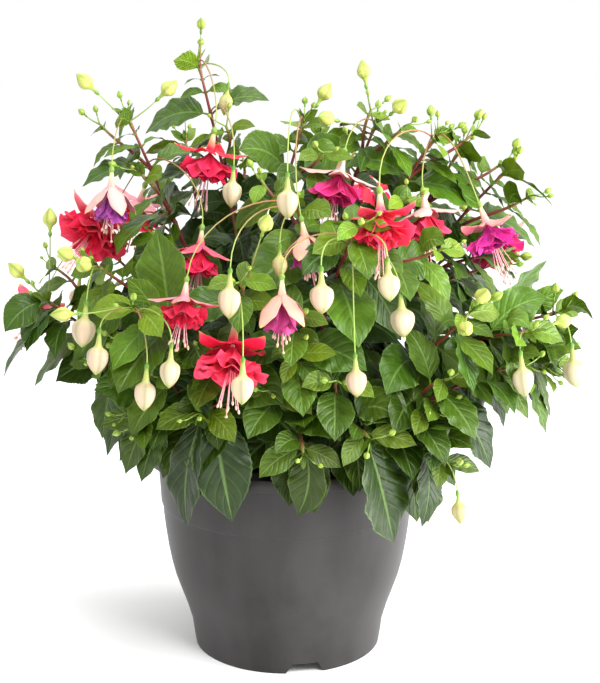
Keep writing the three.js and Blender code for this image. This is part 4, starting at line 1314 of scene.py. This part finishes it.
tip_buds = 0
for index, shoot in enumerate(shoots):
    for branch, route in enumerate(shoot["routes"]):
        tip = route.points[-1]
        heading = unit(tip - route.points[-2])
        level = squared(route.level, heading)
        for side in range(2):
            draw = draws(TIP_BUD_SEED + index * 64 + branch * 8 + side)
            out = turned(level, heading, math.radians(180 * side + draw(-60, 60)))
            scale = draw(0.4, 0.8)
            at = tip + (heading + out * draw(0.5, 1.1)) * draw(5, 12)
            axis = unit(at - tip + UP * TIP_BUD_RISE)
            if (at + axis * TIP_BUD_REACH < BOX_HIGH).all() and (at - TIP_BUD_MARGIN > BOX_LOW).all():
                add_pedicel(shoot["growth"], tip, at, axis, "#7f9a3e")
                add_bud(shoot["growth"], FORMS["small"], at, axis, draw, scale)
                tip_buds += 1
print("buds at the tips", tip_buds)

# %% [markdown]
# The stems bend smoothly, though the solids keep them as a few straight lengths. Here each length is
# sampled every few millimetres and the corners are eased. A fuchsia's young wood is wine red where the
# sun reaches it and green brown lower down, and it swells a little at each big pair of leaves.

# %% Growing a stem
STEM_STEP = 3.0
STEM_EASINGS = 6
STEM_SIDES = 8
STEM_SLIMNESS = 0.92
KNOT_RISE = 0.7
KNOT_REACH = 3.2
STEM_TINTS = [
    (0, "#86963f"), (14, "#86563a"), (40, "#772d28"), (120, "#733a2c"), (180, "#7c7a40"), (260, "#8f9a5a"),
]  # fmt: skip


def grow_stem(growth, route, pairs):
    """A stem from its foot to its tip, with a knot at each pair of leaves."""
    back = np.append(np.arange(route.back[0], 0, -STEM_STEP), 0.0)
    path = np.array([route.place(distance)[0] for distance in back])
    for _ in range(STEM_EASINGS):
        path[1:-1] = 0.25 * path[:-2] + 0.5 * path[1:-1] + 0.25 * path[2:]
    radii = STEM_SLIMNESS * route.radius(back)
    for pair in pairs:
        radii = radii + KNOT_RISE * np.exp(-(((back - pair.distance) / KNOT_REACH) ** 2))
    growth.grid(tube(path, radii, STEM_SIDES), profile(STEM_TINTS, back), ON_STEM, wrapped=True)


for shoot in shoots:
    for route in shoot["routes"]:
        grow_stem(shoot["growth"], route, [pair for pair in shoot["pairs"] if pair.route is route])
print("stems and twigs", sum(len(shoot["routes"]) for shoot in shoots))

# %% [markdown]
# A shoot is now complete: its stems, leaves, stalks and buds are one growth, and it becomes one mesh
# with four finishes. It rides on the body of the packed model, and it replaces the solid of its own
# shoot.

# %% Shoots as pieces
shoot_faces = 0
for shoot in shoots:
    thing = shoot["growth"].mesh(shoot["name"] + "_grown", GROWTH_FINISHES)
    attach(thing, "root")
    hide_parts(shoot["name"])
    shoot_faces += len(thing.data.polygons)
print("faces on the shoots", shoot_faces)

# %% [markdown]
# Most of the blooms are crimson, two are magenta, and the three that have barely opened are purple
# with paler sepals. Each has four tints: the outside and the inside of its sepals, and its petals at
# their foot and at their rim. The five that don't show in the photograph take the first five again.

# %% Tints of the blooms
BLOOM_TINTS = [
    ("#e8909c", "#e01e47", "#cc0731", "#f52253"), ("#e81035", "#e00b31", "#c80f44", "#f01f55"),
    ("#e82549", "#ec1f47", "#dc113e", "#f63e67"), ("#e4bab0", "#e68c9c", "#b8155e", "#e0227d"),
    ("#e44e6b", "#e8294e", "#d40935", "#f0224e"), ("#e6b6b0", "#e65e7d", "#d41e45", "#ee4069"),
    ("#e6a6a0", "#e85c7f", "#b41a90", "#da2a9a"), ("#e65972", "#e63b62", "#d00c3c", "#ee255b"),
    ("#e6929a", "#e63b5c", "#c21440", "#e81f4e"), ("#e4a896", "#e68282", "#9c185c", "#c03a82"),
    ("#e4a894", "#e08080", "#9a185c", "#bc3a8c"), ("#dfaaa4", "#dc8c96", "#801f80", "#b04aa4"),
]  # fmt: skip
for index, bloom in enumerate(blooms):
    bloom.tints = [linear(colour) for colour in BLOOM_TINTS[index % len(BLOOM_TINTS)]]
print("sets of bloom tints", len(BLOOM_TINTS), "for", len(blooms), "blooms")

# %% [markdown]
# Sepals and petals both leave the tube one way and end another. A curve with one knee gives that, with
# how far down the bloom's axis and how far out from it each of its points lies. Its slope tells which
# way a cup or a ruffle has to push, square to the curve.

# %% Curves of sepals and petals
TUBE_LENGTH = 21


def ray(angle):
    """A step of one, at an angle, as two numbers."""
    return np.array([math.cos(angle), math.sin(angle)])


def flare(down, out, length, first, last, share):
    """How far down and out each point lies on a curve that leaves a foot one way and ends another."""
    foot = np.array([down, out], float)
    knee = foot + ray(first) * length / 2
    tip = knee + ray(last) * length / 2
    t = np.asarray(share, float)[:, None]
    curve = foot * (1 - t) ** 2 + 2 * knee * t * (1 - t) + tip * t**2
    slope = (knee - foot) * (1 - t) + (tip - knee) * t
    slope /= np.linalg.norm(slope, axis=1)[:, None]
    return curve, slope


ends = flare(TUBE_LENGTH, 0, 30, 0, math.pi / 2, [0, 1])[0]
print("a curve of 30 mm that turns square ends", ends[1].round(1), "from", ends[0].round(1))

# %% [markdown]
# Above the sepals a bloom is a green ovary and a slim tube. Both are one set of rings whose radius
# follows a profile: a small bead, a waist, and then the tube that widens towards its mouth. Four
# faint ribs run down the tube into the sepals.

# %% Ovary and tube
TUBE_GIRTHS = [
    (0, 1.0), (1.2, 1.9), (3.4, 2.7), (5.6, 2.2), (7, 1.8), (10, 2.3), (15, 3.1), (19, 4.0), (21.5, 4.3),
]  # fmt: skip
TUBE_ROWS, TUBE_SIDES = 26, 20
OVARY_END = 6.2
RIBS_FROM, RIB_SHARE = 8, 0.05
BLUSH_FROM, BLUSH_OVER = 6, 12
OVARY_GREEN, TUBE_CREAM = linear("#7fa048"), linear("#dfe0a8")


def grow_tube(growth, bloom):
    """The green ovary and the pale tube, which takes on the sepals' tint towards them."""
    turn = around(TUBE_SIDES)
    down = np.linspace(0, TUBE_GIRTHS[-1][0], TUBE_ROWS)[:, None]
    ribs = 1 + RIB_SHARE * np.cos(4 * (turn - bloom.spin)) * (down > RIBS_FROM)
    points = bloom.points(down, profile(TUBE_GIRTHS, down[:, 0])[:, None] * ribs, turn)
    blush = np.clip((down - BLUSH_FROM) / BLUSH_OVER, 0, 1)
    tint = np.where(down < OVARY_END, OVARY_GREEN, lerp(TUBE_CREAM, bloom.tints[0], blush))
    growth.grid(points, tint, ON_SEPAL, wrapped=True)


print("the tube's mouth is", 2 * TUBE_GIRTHS[-1][1], "mm wide")

# %% [markdown]
# The sepals spread like four pointed wings above the skirt. They are thick and waxy, paler outside than
# inside, with a green point. Each is a long lens in section, bent outward along a curve, so a ring of
# points runs round it at each step from the tube to the point. In a wide open bloom the sepals curl
# back past square, and each twists by itself. A shut and an open sepal are told by two angles off the
# bloom's axis, in degrees, at its foot and at its point.

# %% Growing the sepals
SEPAL_LENGTH = 35
SEPAL_ROWS, SEPAL_SIDES = 22, 16
SEPAL_THICKNESS = 0.5
SEPAL_SEED, SEPAL_SEED_STEP = 31000, 7
SHUT_SEPAL, OPEN_SEPAL = (38, 16), (60, 132)
SEPAL_FOOT_OUT = 3
SEPAL_CUP = 2.4
SEPAL_RIPPLE, SEPAL_RIPPLES = 0.5, 2.5
GREEN_FROM, GREEN_SHARE = 0.86, 0.75
EDGE_SHADE = 0.18
SEPAL_GREEN = linear("#a9b85e")
SEPAL_WIDTHS = [
    (0, 3.6), (0.18, 7.0), (0.36, 8.8), (0.55, 8.9), (0.72, 7.1), (0.88, 3.8), (0.96, 1.5), (1, 0.1),
]  # fmt: skip


def grow_sepals(growth, bloom):
    """The ovary, the tube and four sepals, each a lens in section."""
    grow_tube(growth, bloom)
    outside, inside = bloom.tints[:2]
    share = np.linspace(0, 1, SEPAL_ROWS)
    along = share[:, None]
    side = np.cos(around(SEPAL_SIDES))
    thick = SEPAL_THICKNESS * np.sin(around(SEPAL_SIDES))
    flat = profile(SEPAL_WIDTHS, share)[:, None] * side
    green = GREEN_SHARE * np.clip((along - GREEN_FROM) / (1 - GREEN_FROM), 0, 1)
    body = lerp(outside, SEPAL_GREEN, green)
    inner = lerp(inside, body, 0.15 + 0.4 * along**2)
    tint = np.where((thick > 0)[None, :, None], body[:, None, :], inner[:, None, :])
    # Painted shade: each sepal is darkened towards its two edges.
    painted_edge_shade = 1 - EDGE_SHADE * np.abs(side) ** 6
    for k in range(4):
        draw = draws(SEPAL_SEED + int(bloom.at[0]) * SEPAL_SEED_STEP + k)
        first = math.radians(lerp(SHUT_SEPAL[0], OPEN_SEPAL[0] + draw(-6, 6), bloom.open))
        last = math.radians(lerp(SHUT_SEPAL[1], OPEN_SEPAL[1] + draw(-22, 22), bloom.open))
        curve, slope = flare(TUBE_LENGTH - 1, SEPAL_FOOT_OUT, SEPAL_LENGTH, first, last, share)
        twist = draw(-0.7, 0.7) * bloom.open * along**1.5
        cup = SEPAL_CUP * (1 - side**2) * np.sin(math.pi * along)
        wave = np.sin(2 * math.pi * (SEPAL_RIPPLES * along + draw(0, 1)))
        ripple = SEPAL_RIPPLE * wave * side**2 * np.sign(side)
        wide = flat * np.cos(twist)
        lift = thick + cup + ripple + flat * np.sin(twist)
        low = curve[:, :1] - slope[:, 1:] * lift
        out = curve[:, 1:] + slope[:, :1] * lift
        angle = bloom.spin + math.pi / 2 * k + np.arctan2(wide, np.maximum(out, 0.5))
        points = bloom.points(low, np.hypot(out, wide), angle)
        growth.grid(points, tint * painted_edge_shade[None, :, None], ON_SEPAL, wrapped=True)


print("a sepal is", SEPAL_LENGTH, "mm long and", 2 * max(w for _, w in SEPAL_WIDTHS), "mm wide")

# %% [markdown]
# The skirt is what makes this a double fuchsia: many broad petals, wider than the room they have, so
# they overlap, fold and ruffle. Each petal is a fan about the bloom's axis. Its rim waves in and out.
# It is deeper in colour at its foot, partly its own colour and partly painted shade, and its folds
# are darkened with painted shade. Cloth could be simulated for this, but a few sine waves come near
# the look of it, are quick, and come out the same on each run.

# %% Growing a petal
PETAL_ROWS = 16
PETAL_COLUMNS = 17
MOUTH_DOWN, MOUTH_OUT = TUBE_LENGTH + 2, 1.4
LEAST_OUT = 0.8
RIM_ROUNDNESS = 0.3
RIM_NOTCHES = 0.025
NARROW_FOOT = 0.7


def grow_petal(growth, bloom, turn, spread, length, first, last, ruffle, draw):
    """One petal: a fan from the tube's mouth that is cupped, tilted and waved at its rim."""
    along = np.linspace(0, 1, PETAL_ROWS)[:, None]
    side = np.linspace(-1, 1, PETAL_COLUMNS)
    curve, slope = flare(MOUTH_DOWN, MOUTH_OUT, length, first, last, along[:, 0])
    rim = 1 - RIM_ROUNDNESS * np.abs(side) ** 3 + RIM_NOTCHES * np.sin(8 * side + draw(0, 6))
    low = MOUTH_DOWN + (curve[:, :1] - MOUTH_DOWN) * rim
    out = MOUTH_OUT + (curve[:, 1:] - MOUTH_OUT) * rim
    phase = draw(0, 2 * math.pi)
    waves = draw(1.3, 2.4)
    wave = np.sin(waves * math.pi * side + phase) * along**1.5
    fold = np.sin(2.7 * waves * side + draw(0, 6)) * along**3
    cup = draw(1.5, 5.0) * side**2 * along**1.3
    curl = draw(-1.5, 4.5) * along**5
    push = ruffle * (wave + 0.5 * fold) + cup + curl
    low = low - slope[:, 1:] * push
    out = np.maximum(out + slope[:, :1] * push, LEAST_OUT)
    tilt = draw(-0.22, 0.22) * along**2
    angle = turn + side * spread * lerp(NARROW_FOOT, 1.0, along) + tilt
    deep, pale = bloom.tints[2:]
    # Deep at the foot to pale at the rim is partly the petal's own colour and partly painted shade and
    # painted highlight. The wave term paints shade and light into the ruffle's folds.
    light = np.clip(along**1.5 * 0.8 + 0.3 * wave + 0.35 * along**9, 0, 1)
    tint = lerp(deep, pale, light[..., None])
    growth.grid(bloom.points(low, out, angle), tint * draw(0.86, 1.1), ON_PETAL)


print("a petal has", PETAL_ROWS, "rows of", PETAL_COLUMNS, "points")

# %% [markdown]
# The petals stand in four layers. They get shorter, more crumpled and more upright towards the middle.
# A row has the petals of a layer, its lead angle and half a petal's spread in degrees, its length as
# a share of the longest, how far it flares and how deep it ruffles in millimetres. A bloom that is
# only half open has its petals wrapped further round and held closer.

# %% Growing the skirt
PETAL_LENGTH = 31
SHUT_PETAL, OPEN_PETAL = (16, 8), (38, 66)
SHUT_WRAP = 1.5
SHUT_RUFFLE, OPEN_RUFFLE = 0.4, 1.1
LAYERS = (
    (7, 45, 36, 1.0, 1.0, 1.9),
    (6, 20, 36, 0.95, 0.76, 2.3),
    (6, 52, 36, 0.88, 0.48, 2.4),
    (5, 5, 40, 0.74, 0.2, 1.8),
)


def grow_skirt(growth, bloom, draw):
    """All the petals of a bloom, layer by layer from the outside in."""
    first, last = [
        math.radians(lerp(shut, wide, bloom.open)) for shut, wide in zip(SHUT_PETAL, OPEN_PETAL)
    ]
    for count, lead, spread, reach, flaring, ruffle in LAYERS:
        for k in range(count):
            turn = bloom.spin + math.radians(lead + 360 / count * k + draw(-10, 10))
            length = PETAL_LENGTH * reach * draw(0.9, 1.06)
            bend = flaring * draw(0.78, 1.14)
            depth = ruffle * lerp(SHUT_RUFFLE, OPEN_RUFFLE, bloom.open)
            fan = math.radians(lerp(spread * SHUT_WRAP, spread, bloom.open))
            grow_petal(growth, bloom, turn, fan, length, first * bend, last * bend, depth, draw)


print("petals in a bloom", sum(layer[0] for layer in LAYERS))

# %% [markdown]
# Eight pale pink stamens hang out of the skirt, each with a cream anther at its end, and one longer
# style with a knob, the stigma. All are thin tubes. An anther or a stigma is a short tube along the
# last of its thread, which swells and closes again.

# %% Growing the stamens and the style
STAMENS = 8
STAMEN_POINTS, STYLE_POINTS = 9, 10
STAMEN_RADIUS = 0.33
STYLE_RADII = (0.5, 0.45)
STYLE_LENGTH = 52
THREAD_SIDES, KNOB_SIDES = 6, 8
ANTHER = ((-0.8, 0.1), (0, 0.8), (1, 1.05), (2.2, 0.8), (3.2, 0.1))
STIGMA = ((-2.4, 0.3), (-1.6, 1.2), (-0.4, 1.1), (0.0, 0.1))
CREAM_TINT, ROSE_TINT = linear("#dcb9a2"), linear("#eba4ac")


def grow_knob(growth, path, girths):
    """A knob at the end of a thread, by distances past the end and the radius at each."""
    onwards = unit(path[-1] - path[-2])
    centres = np.array([path[-1] + onwards * distance for distance, _ in girths])
    radii = np.array([radius for _, radius in girths])
    growth.grid(tube(centres, radii, KNOB_SIDES), CREAM_TINT, ON_SEPAL, wrapped=True)


def grow_threads(growth, bloom, draw):
    """The stamens with their anthers, and the style with its stigma."""
    share = np.linspace(0, 1, STAMEN_POINTS)
    for k in range(STAMENS):
        turn = bloom.spin + math.radians(360 / STAMENS * k + draw(-12, 12))
        reach = draw(40, 50) * (0.8 + 0.2 * bloom.open)
        lean = draw(3.5, 8.5)
        path = bloom.points(TUBE_LENGTH + reach * share, 1.0 + lean * share**1.5, turn)
        thread = tube(path, np.full(STAMEN_POINTS, STAMEN_RADIUS), THREAD_SIDES)
        growth.grid(thread, lerp(ROSE_TINT, ROSE_TINT * 1.1, share[:, None]), ON_SEPAL, wrapped=True)
        grow_knob(growth, path, ANTHER)
    share = np.linspace(0, 1, STYLE_POINTS)
    path = bloom.points(TUBE_LENGTH + STYLE_LENGTH * share, draw(0, 2.5) * share**2, draw(0, 6))
    growth.grid(tube(path, lerp(*STYLE_RADII, share), THREAD_SIDES), ROSE_TINT, ON_SEPAL, wrapped=True)
    grow_knob(growth, path, STIGMA)


print("the style ends", TUBE_LENGTH + STYLE_LENGTH, "mm below the top of the ovary")

# %% [markdown]
# Each bloom is two pieces, as in the packed model: its sepals with the tube and ovary, and its skirt
# with the stamens and the style. So the sepals and the petals can be given a finish of their own.

# %% Blooms as pieces
COROLLA_SEED = 40000
for index, bloom in enumerate(blooms):
    name = f"bloom_{index + 1:02d}"
    sepals, corolla = Growth(), Growth()
    grow_sepals(sepals, bloom)
    draw = draws(COROLLA_SEED + index)
    grow_skirt(corolla, bloom, draw)
    grow_threads(corolla, bloom, draw)
    for part, growth in (("sepals", sepals), ("corolla", corolla)):
        thing = growth.mesh(f"{name}_{part}_grown", GROWTH_FINISHES)
        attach(thing, "root")
        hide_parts(f"{name}_{part}")
print("blooms", len(blooms))

# %% [markdown]
# The pot is injection-moulded polypropylene, dark grey and matt, with a film of dust and dried water.
# The dust is two noises added: soft clouds, and streaks that run up the wall because water runs down
# it. Where it lies, the plastic is paler and rougher. A very fine grain comes from the mould.

# %% Pot finish
DUST_CLOUD = 71.43 * MM
DUST_STREAK_WIDTH, DUST_STREAK_LENGTH = 38.46 * MM, 166.7 * MM
MOULD_GRAIN = 1.111 * MM
GRAIN_DEPTH = 0.4 * MM
BARE_PLASTIC, DUSTY_PLASTIC = "#211f1e", "#383535"


def pot_finish():
    """Dark grey polypropylene, moulded matt and a little chalky with dust: dull, soft-edged glints."""
    material, shader = finish("moulded_polypropylene_dusty", IOR=1.49, Specular_IOR_Level=0.34)
    place = add(material, "ShaderNodeTexCoord", {}, out="Object")
    cloud = add(
        material,
        "ShaderNodeTexNoise",
        {"Vector": place, "Scale": 1 / DUST_CLOUD, "Detail": 5.0, "Roughness": 0.6},
    )
    grain = add(material, "ShaderNodeTexNoise", {"Vector": place, "Scale": 1 / MOULD_GRAIN, "Detail": 2.0})
    level = 1 / DUST_STREAK_WIDTH
    streaks = (level, level, 1 / DUST_STREAK_LENGTH)
    drag = add(material, "ShaderNodeVectorMath", {0: place, 1: streaks}, operation="MULTIPLY")
    streak = add(material, "ShaderNodeTexNoise", {"Vector": drag, "Scale": 1.0, "Detail": 3.0})
    both = add(material, "ShaderNodeMath", {0: cloud, 1: streak}, operation="ADD")
    dust = add(material, "ShaderNodeMapRange", {"Value": both, "From Min": 0.75, "From Max": 1.25})
    base = add(
        material,
        "ShaderNodeMix",
        {MIX_FACTOR: dust, MIX_FIRST: opaque(BARE_PLASTIC), MIX_SECOND: opaque(DUSTY_PLASTIC)},
        out=MIX_COLOUR,
        data_type="RGBA",
    )
    rough = add(material, "ShaderNodeMapRange", {"Value": dust, "To Min": 0.36, "To Max": 0.48})
    bump = add(material, "ShaderNodeBump", {"Strength": 0.25, "Distance": GRAIN_DEPTH, "Height": grain})
    wire(shader, {"Base Color": base, "Roughness": rough, "Normal": bump})
    return material


POT_PLASTIC = pot_finish()
print("pot finish", POT_PLASTIC.name)

# %% [markdown]
# Its form is a plain flared wall, a band that stands a little proud below the rim, where it nests in
# the next pot, and a straight collar that hangs over. That is a lathe form: one outline of radii and
# heights turned about the axis. The outline goes up the outside, over the rim and down the inside to
# the floor, which stands clear of the ground.

# %% Pot wall
POT_SIDES = 160
POT_OUTLINE = [
    (79.8, 0), (82, 0), (83.2, 8), (85, 22), (89.6, 38), (93.2, 48), (96, 56), (99.4, 66), (102.4, 78),
    (105, 92), (107.2, 108), (108.6, 121), (109, 128), (109.3, 130.6), (110.2, 131.6), (110.6, 133),
    (111.4, 148), (112.4, 164), (113, 174), (113.6, 174.8), (123.6, 174.2), (124.8, 174.8), (125, 175.8),
    (125.1, 180), (125, 184.2), (124.4, 185.2), (123.2, 185.6), (114, 187.8), (112.6, 188), (111.2, 187.6),
    (110.6, 186.6), (110.4, 175), (108.4, 133), (106.8, 128), (103, 93), (94, 57.4), (83, 23), (79.8, 14.2),
    (0.01, 14.2), (0.01, 12), (79.8, 12),
]  # fmt: skip
PLAIN_TINT = (1, 1, 1)


def lathe_points(reach, rise, turn):
    """Points at radii and heights, with a ring of them for each."""
    heights = np.broadcast_to(np.asarray(rise, float).reshape(len(reach), -1), (len(reach), len(turn)))
    reach = np.asarray(reach, float)[:, None]
    return np.stack([reach * np.cos(turn), reach * np.sin(turn), heights], -1)


def weld(piece, gap=0.01 * MM):
    """Joins points that lie on each other, which closes a lathe form's seams."""
    form = bmesh.new()
    form.from_mesh(piece.data)
    bmesh.ops.remove_doubles(form, verts=form.verts, dist=gap)
    bmesh.ops.recalc_face_normals(form, faces=form.faces)
    form.to_mesh(piece.data)
    form.free()


wall = Growth()
closed = np.array([*POT_OUTLINE, POT_OUTLINE[0]], float)
wall.grid(lathe_points(closed[:, 0], closed[:, 1], around(POT_SIDES)), PLAIN_TINT, wrapped=True)
pot = wall.mesh("pot_moulded", [])
weld(pot)
print("pot wall faces", len(pot.data.polygons), "width", 2 * closed[:, 0].max())

# %% [markdown]
# The foot ring has three shallow notches that let water out, and the floor has four drain holes. The
# mould forms them with blocks and pins, so here prisms of the same shapes are cut out of the turned
# wall with Boolean modifiers. A notch is narrower at its top than at the ground.

# %% Notches and drain holes
NOTCHES, NOTCH_LEAD = 3, 11
NOTCH_HALF_WIDTH, NOTCH_TOP_HALF_WIDTH = 17, 11
NOTCH_NEAR, NOTCH_FAR = -97, -67
NOTCH_LOW, NOTCH_HIGH = -1, 9
HOLES, HOLE_LEAD = 4, 45
HOLE_REACH, HOLE_RADIUS, HOLE_SIDES = 52, 5, 16
HOLE_LOW, HOLE_HIGH = 5, 22
SHARP_ANGLE = 32


def prism(name, outline, low, high):
    """A straight prism between two heights, from an outline in millimetres, with closed ends."""
    outline = np.array(outline, float)
    middle = np.tile(outline.mean(axis=0), (len(outline), 1))
    levels = ((middle, low), (outline, low), (outline, high), (middle, high))
    growth = Growth()
    loops = np.array([np.column_stack([loop, np.full(len(loop), z)]) for loop, z in levels])
    growth.grid(loops, PLAIN_TINT, wrapped=True)
    block = growth.mesh(name, [])
    weld(block)
    return block


def cut(piece, cutter):
    """Cuts one object out of another for good, and removes the cutter."""
    modifier = piece.modifiers.new("cut", "BOOLEAN")
    modifier.object, modifier.operation, modifier.solver = cutter, "DIFFERENCE", "EXACT"
    shape = bpy.data.meshes.new_from_object(piece.evaluated_get(bpy.context.evaluated_depsgraph_get()))
    piece.modifiers.clear()
    piece.data = shape
    bpy.data.objects.remove(cutter)


foot = [
    (-NOTCH_HALF_WIDTH, NOTCH_NEAR),
    (NOTCH_HALF_WIDTH, NOTCH_NEAR),
    (NOTCH_HALF_WIDTH, NOTCH_FAR),
    (-NOTCH_HALF_WIDTH, NOTCH_FAR),
]
for k in range(NOTCHES):
    notch = prism("notch", foot, NOTCH_LOW, NOTCH_HIGH)
    for vertex in notch.data.vertices:
        if vertex.co.z > (NOTCH_LOW + NOTCH_HIGH) / 2 * MM:
            vertex.co.x *= NOTCH_TOP_HALF_WIDTH / NOTCH_HALF_WIDTH
    lead = math.radians(NOTCH_LEAD + 360 / NOTCHES * k)
    notch.data.transform(Matrix.Rotation(lead, 4, "Z"))
    cut(pot, notch)
circle = HOLE_RADIUS * np.column_stack([np.cos(around(HOLE_SIDES)), np.sin(around(HOLE_SIDES))])
for k in range(HOLES):
    lead = math.radians(HOLE_LEAD + 360 / HOLES * k)
    cut(pot, prism("drain", circle + HOLE_REACH * ray(lead), HOLE_LOW, HOLE_HIGH))
pot.data.materials.append(POT_PLASTIC)
pot.data.shade_smooth()
pot.data.set_sharp_from_angle(angle=math.radians(SHARP_ANGLE))
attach(pot, "root")
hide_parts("pot")
print("pot faces", len(pot.data.polygons))

# %% [markdown]
# Potting compost is dark, damp peat and bark. Damp peat is nearly black and gives back almost no light,
# and here and there a crumb has dried to a paler brown. One noise does both: it picks the dry crumbs
# and it roughens the skin.

# %% Compost finish
CRUMB_PATCH = 3.125 * MM
CRUMB_DEPTH = 1.5 * MM
DAMP_PEAT, DRY_PEAT = "#1d1611", "#4a3a2b"


def compost_finish():
    """Damp peat and bark: nearly black, fibrous and dull, with paler dry crumbs here and there."""
    material, shader = finish("potting_compost_damp", Roughness=0.88, IOR=1.35, Specular_IOR_Level=0.3)
    place = add(material, "ShaderNodeTexCoord", {}, out="Object")
    crumbs = add(material, "ShaderNodeTexNoise", {"Vector": place, "Scale": 1 / CRUMB_PATCH, "Detail": 4.0})
    dry = add(material, "ShaderNodeMapRange", {"Value": crumbs, "From Min": 0.42, "From Max": 0.68})
    base = add(
        material,
        "ShaderNodeMix",
        {MIX_FACTOR: dry, MIX_FIRST: opaque(DAMP_PEAT), MIX_SECOND: opaque(DRY_PEAT)},
        out=MIX_COLOUR,
        data_type="RGBA",
    )
    bump = add(material, "ShaderNodeBump", {"Strength": 0.8, "Distance": CRUMB_DEPTH, "Height": crumbs})
    wire(shader, {"Base Color": base, "Normal": bump})
    return material


COMPOST = compost_finish()
print("compost finish", COMPOST.name)

# %% [markdown]
# The compost fills the pot to 22 mm below its rim at the edge and 17 mm in the middle, where it is
# crowned. It shows between the lowest leaves and the rim, so it has a rough skin, and crumbs of two to
# five millimetres are strewn over it. Each crumb is a short fat tube with its own girths, which looks
# less like a bead than a ball would.

# %% Compost
COMPOST_SEED = 77
COMPOST_SIDES = 120
CROWN_RINGS, CROWN_RISE = 34, 5
CROWN_EDGE, CROWN_MIDDLE = 109.2, 0.5
CROWN_FOOT = 166
WALL_REACH, WALL_RISE = (79, 84, 94, 104, 107.4, 109.4), (15, 22, 56, 110, 135, 164)
SMOOTH_RINGS = 5
SKIN_ROUGHNESS = 1.1
CRUMBS = 1100
CRUMB_REACH = 108
CRUMB_SIZES = (0.8, 2.6)
CRUMB_BEDDING = 0.4
CRUMB_STEPS = np.array([-1, -0.6, 0.1, 0.7, 1.1])
CRUMB_END = 0.05


def add_crumb(growth, draw):
    """One crumb, strewn evenly over the crown and half bedded in it."""
    out = CRUMB_REACH * math.sqrt(draw(0, 1))
    lead = draw(0, 2 * math.pi)
    size = draw(*CRUMB_SIZES)
    height = CROWN_FOOT + CRUMB_BEDDING + CROWN_RISE * (1 - (out / CRUMB_REACH) ** 2)
    centre = np.array([out * math.cos(lead), out * math.sin(lead), height])
    way = unit(np.array([draw(-1, 1), draw(-1, 1), draw(-0.5, 0.5)]))
    centres = centre + way * (size * CRUMB_STEPS)[:, None]
    girths = size * np.array([CRUMB_END, draw(0.5, 0.8), draw(0.7, 0.95), draw(0.4, 0.7), CRUMB_END])
    growth.grid(tube(centres, girths), PLAIN_TINT, wrapped=True)


soil = Growth()
draw = draws(COMPOST_SEED)
turn = around(COMPOST_SIDES)
crown = 1 - np.linspace(1, 0, CROWN_RINGS) ** 2
reach = np.concatenate([WALL_REACH, np.linspace(CROWN_EDGE, CROWN_MIDDLE, CROWN_RINGS)])
rise = np.concatenate([WALL_RISE, CROWN_FOOT + CROWN_RISE * crown])
rough = np.array([[draw(-SKIN_ROUGHNESS, SKIN_ROUGHNESS) for _ in turn] for _ in reach])
rough[:SMOOTH_RINGS] = 0
soil.grid(lathe_points(reach, rise[:, None] + rough, turn), PLAIN_TINT, wrapped=True)
for _ in range(CRUMBS):
    add_crumb(soil, draw)
compost = soil.mesh("potting_compost", [COMPOST])
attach(compost, "root")
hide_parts("soil")
print("compost faces", len(compost.data.polygons))

# %% [markdown]
# A plain pale floor and a plain pale surround, with big soft lights, as in a studio. The key stands at
# the front right, a stronger fill at the right, and a weak light above edges the top leaves. A row of
# the table has a light's place and what it is aimed at, in metres, its power in watts and its width.

# %% Floor and light
FLOOR_REACH = 8
LIGHTS = {
    "key": ((0.7, -1.4, 1.8), (0, 0, 0.3), 34, 0.8),
    "fill": ((1.6, -0.34, 0.6), (0, 0, 0.2), 48, 1.3),
    "top": ((0.1, 0.5, 2.2), (0, 0, 0.3), 16, 1.4),
}


def place_light(name, spot, aim, power, size):
    """A round soft light at a spot, aimed at a point."""
    lamp = bpy.data.lights.new(name, "AREA")
    lamp.energy, lamp.size, lamp.shape = power, size, "DISK"
    light = bpy.data.objects.new(name, lamp)
    light.location = spot
    light.rotation_euler = (Vector(aim) - Vector(spot)).to_track_quat("-Z", "Y").to_euler()
    bpy.context.scene.collection.objects.link(light)
    return light


floor_mesh = bpy.data.meshes.new("floor")
floor_corners = [(x * FLOOR_REACH, y * FLOOR_REACH, 0) for x, y in ((-1, -1), (1, -1), (1, 1), (-1, 1))]
floor_mesh.from_pydata(floor_corners, [], [(0, 1, 2, 3)])
floor = bpy.data.objects.new("floor", floor_mesh)
bpy.context.scene.collection.objects.link(floor)
paper, paper_shader = finish("studio_paper_matt", Roughness=0.9)
wire(paper_shader, {"Base Color": opaque("#ffffff")})
floor_mesh.materials.append(paper)

world = bpy.data.worlds.new("studio")
world.use_nodes = True
wire(world.node_tree.nodes["Background"], {"Color": opaque("#ffffff"), "Strength": 1.0})
bpy.context.scene.world = world

key, fill, top = [place_light(name, *row) for name, row in LIGHTS.items()]
print("lights", [(light.name, light.data.energy) for light in (key, fill, top)])

# %% [markdown]
# The camera looks down at the plant by 13 degrees from about a metre and a third, through a long lens
# that keeps the pot's sides straight. Its pitch decides how much of the rim's opening shows.

# %% Camera
SENSOR_WIDTH = 36
FOCAL_LENGTH = 92.04
CAMERA_PLACE = (0.0114, -1.290, 0.569)
CAMERA_PITCH = 77

lens = bpy.data.cameras.new("camera")
lens.sensor_fit, lens.sensor_width, lens.lens = "HORIZONTAL", SENSOR_WIDTH, FOCAL_LENGTH
camera = bpy.data.objects.new("camera", lens)
camera.location = CAMERA_PLACE
camera.rotation_euler = (math.radians(CAMERA_PITCH), 0, 0)
bpy.context.scene.collection.objects.link(camera)
bpy.context.scene.camera = camera
bpy.context.scene.view_settings.view_transform = "Standard"
print("the camera looks down by", 90 - CAMERA_PITCH, "degrees")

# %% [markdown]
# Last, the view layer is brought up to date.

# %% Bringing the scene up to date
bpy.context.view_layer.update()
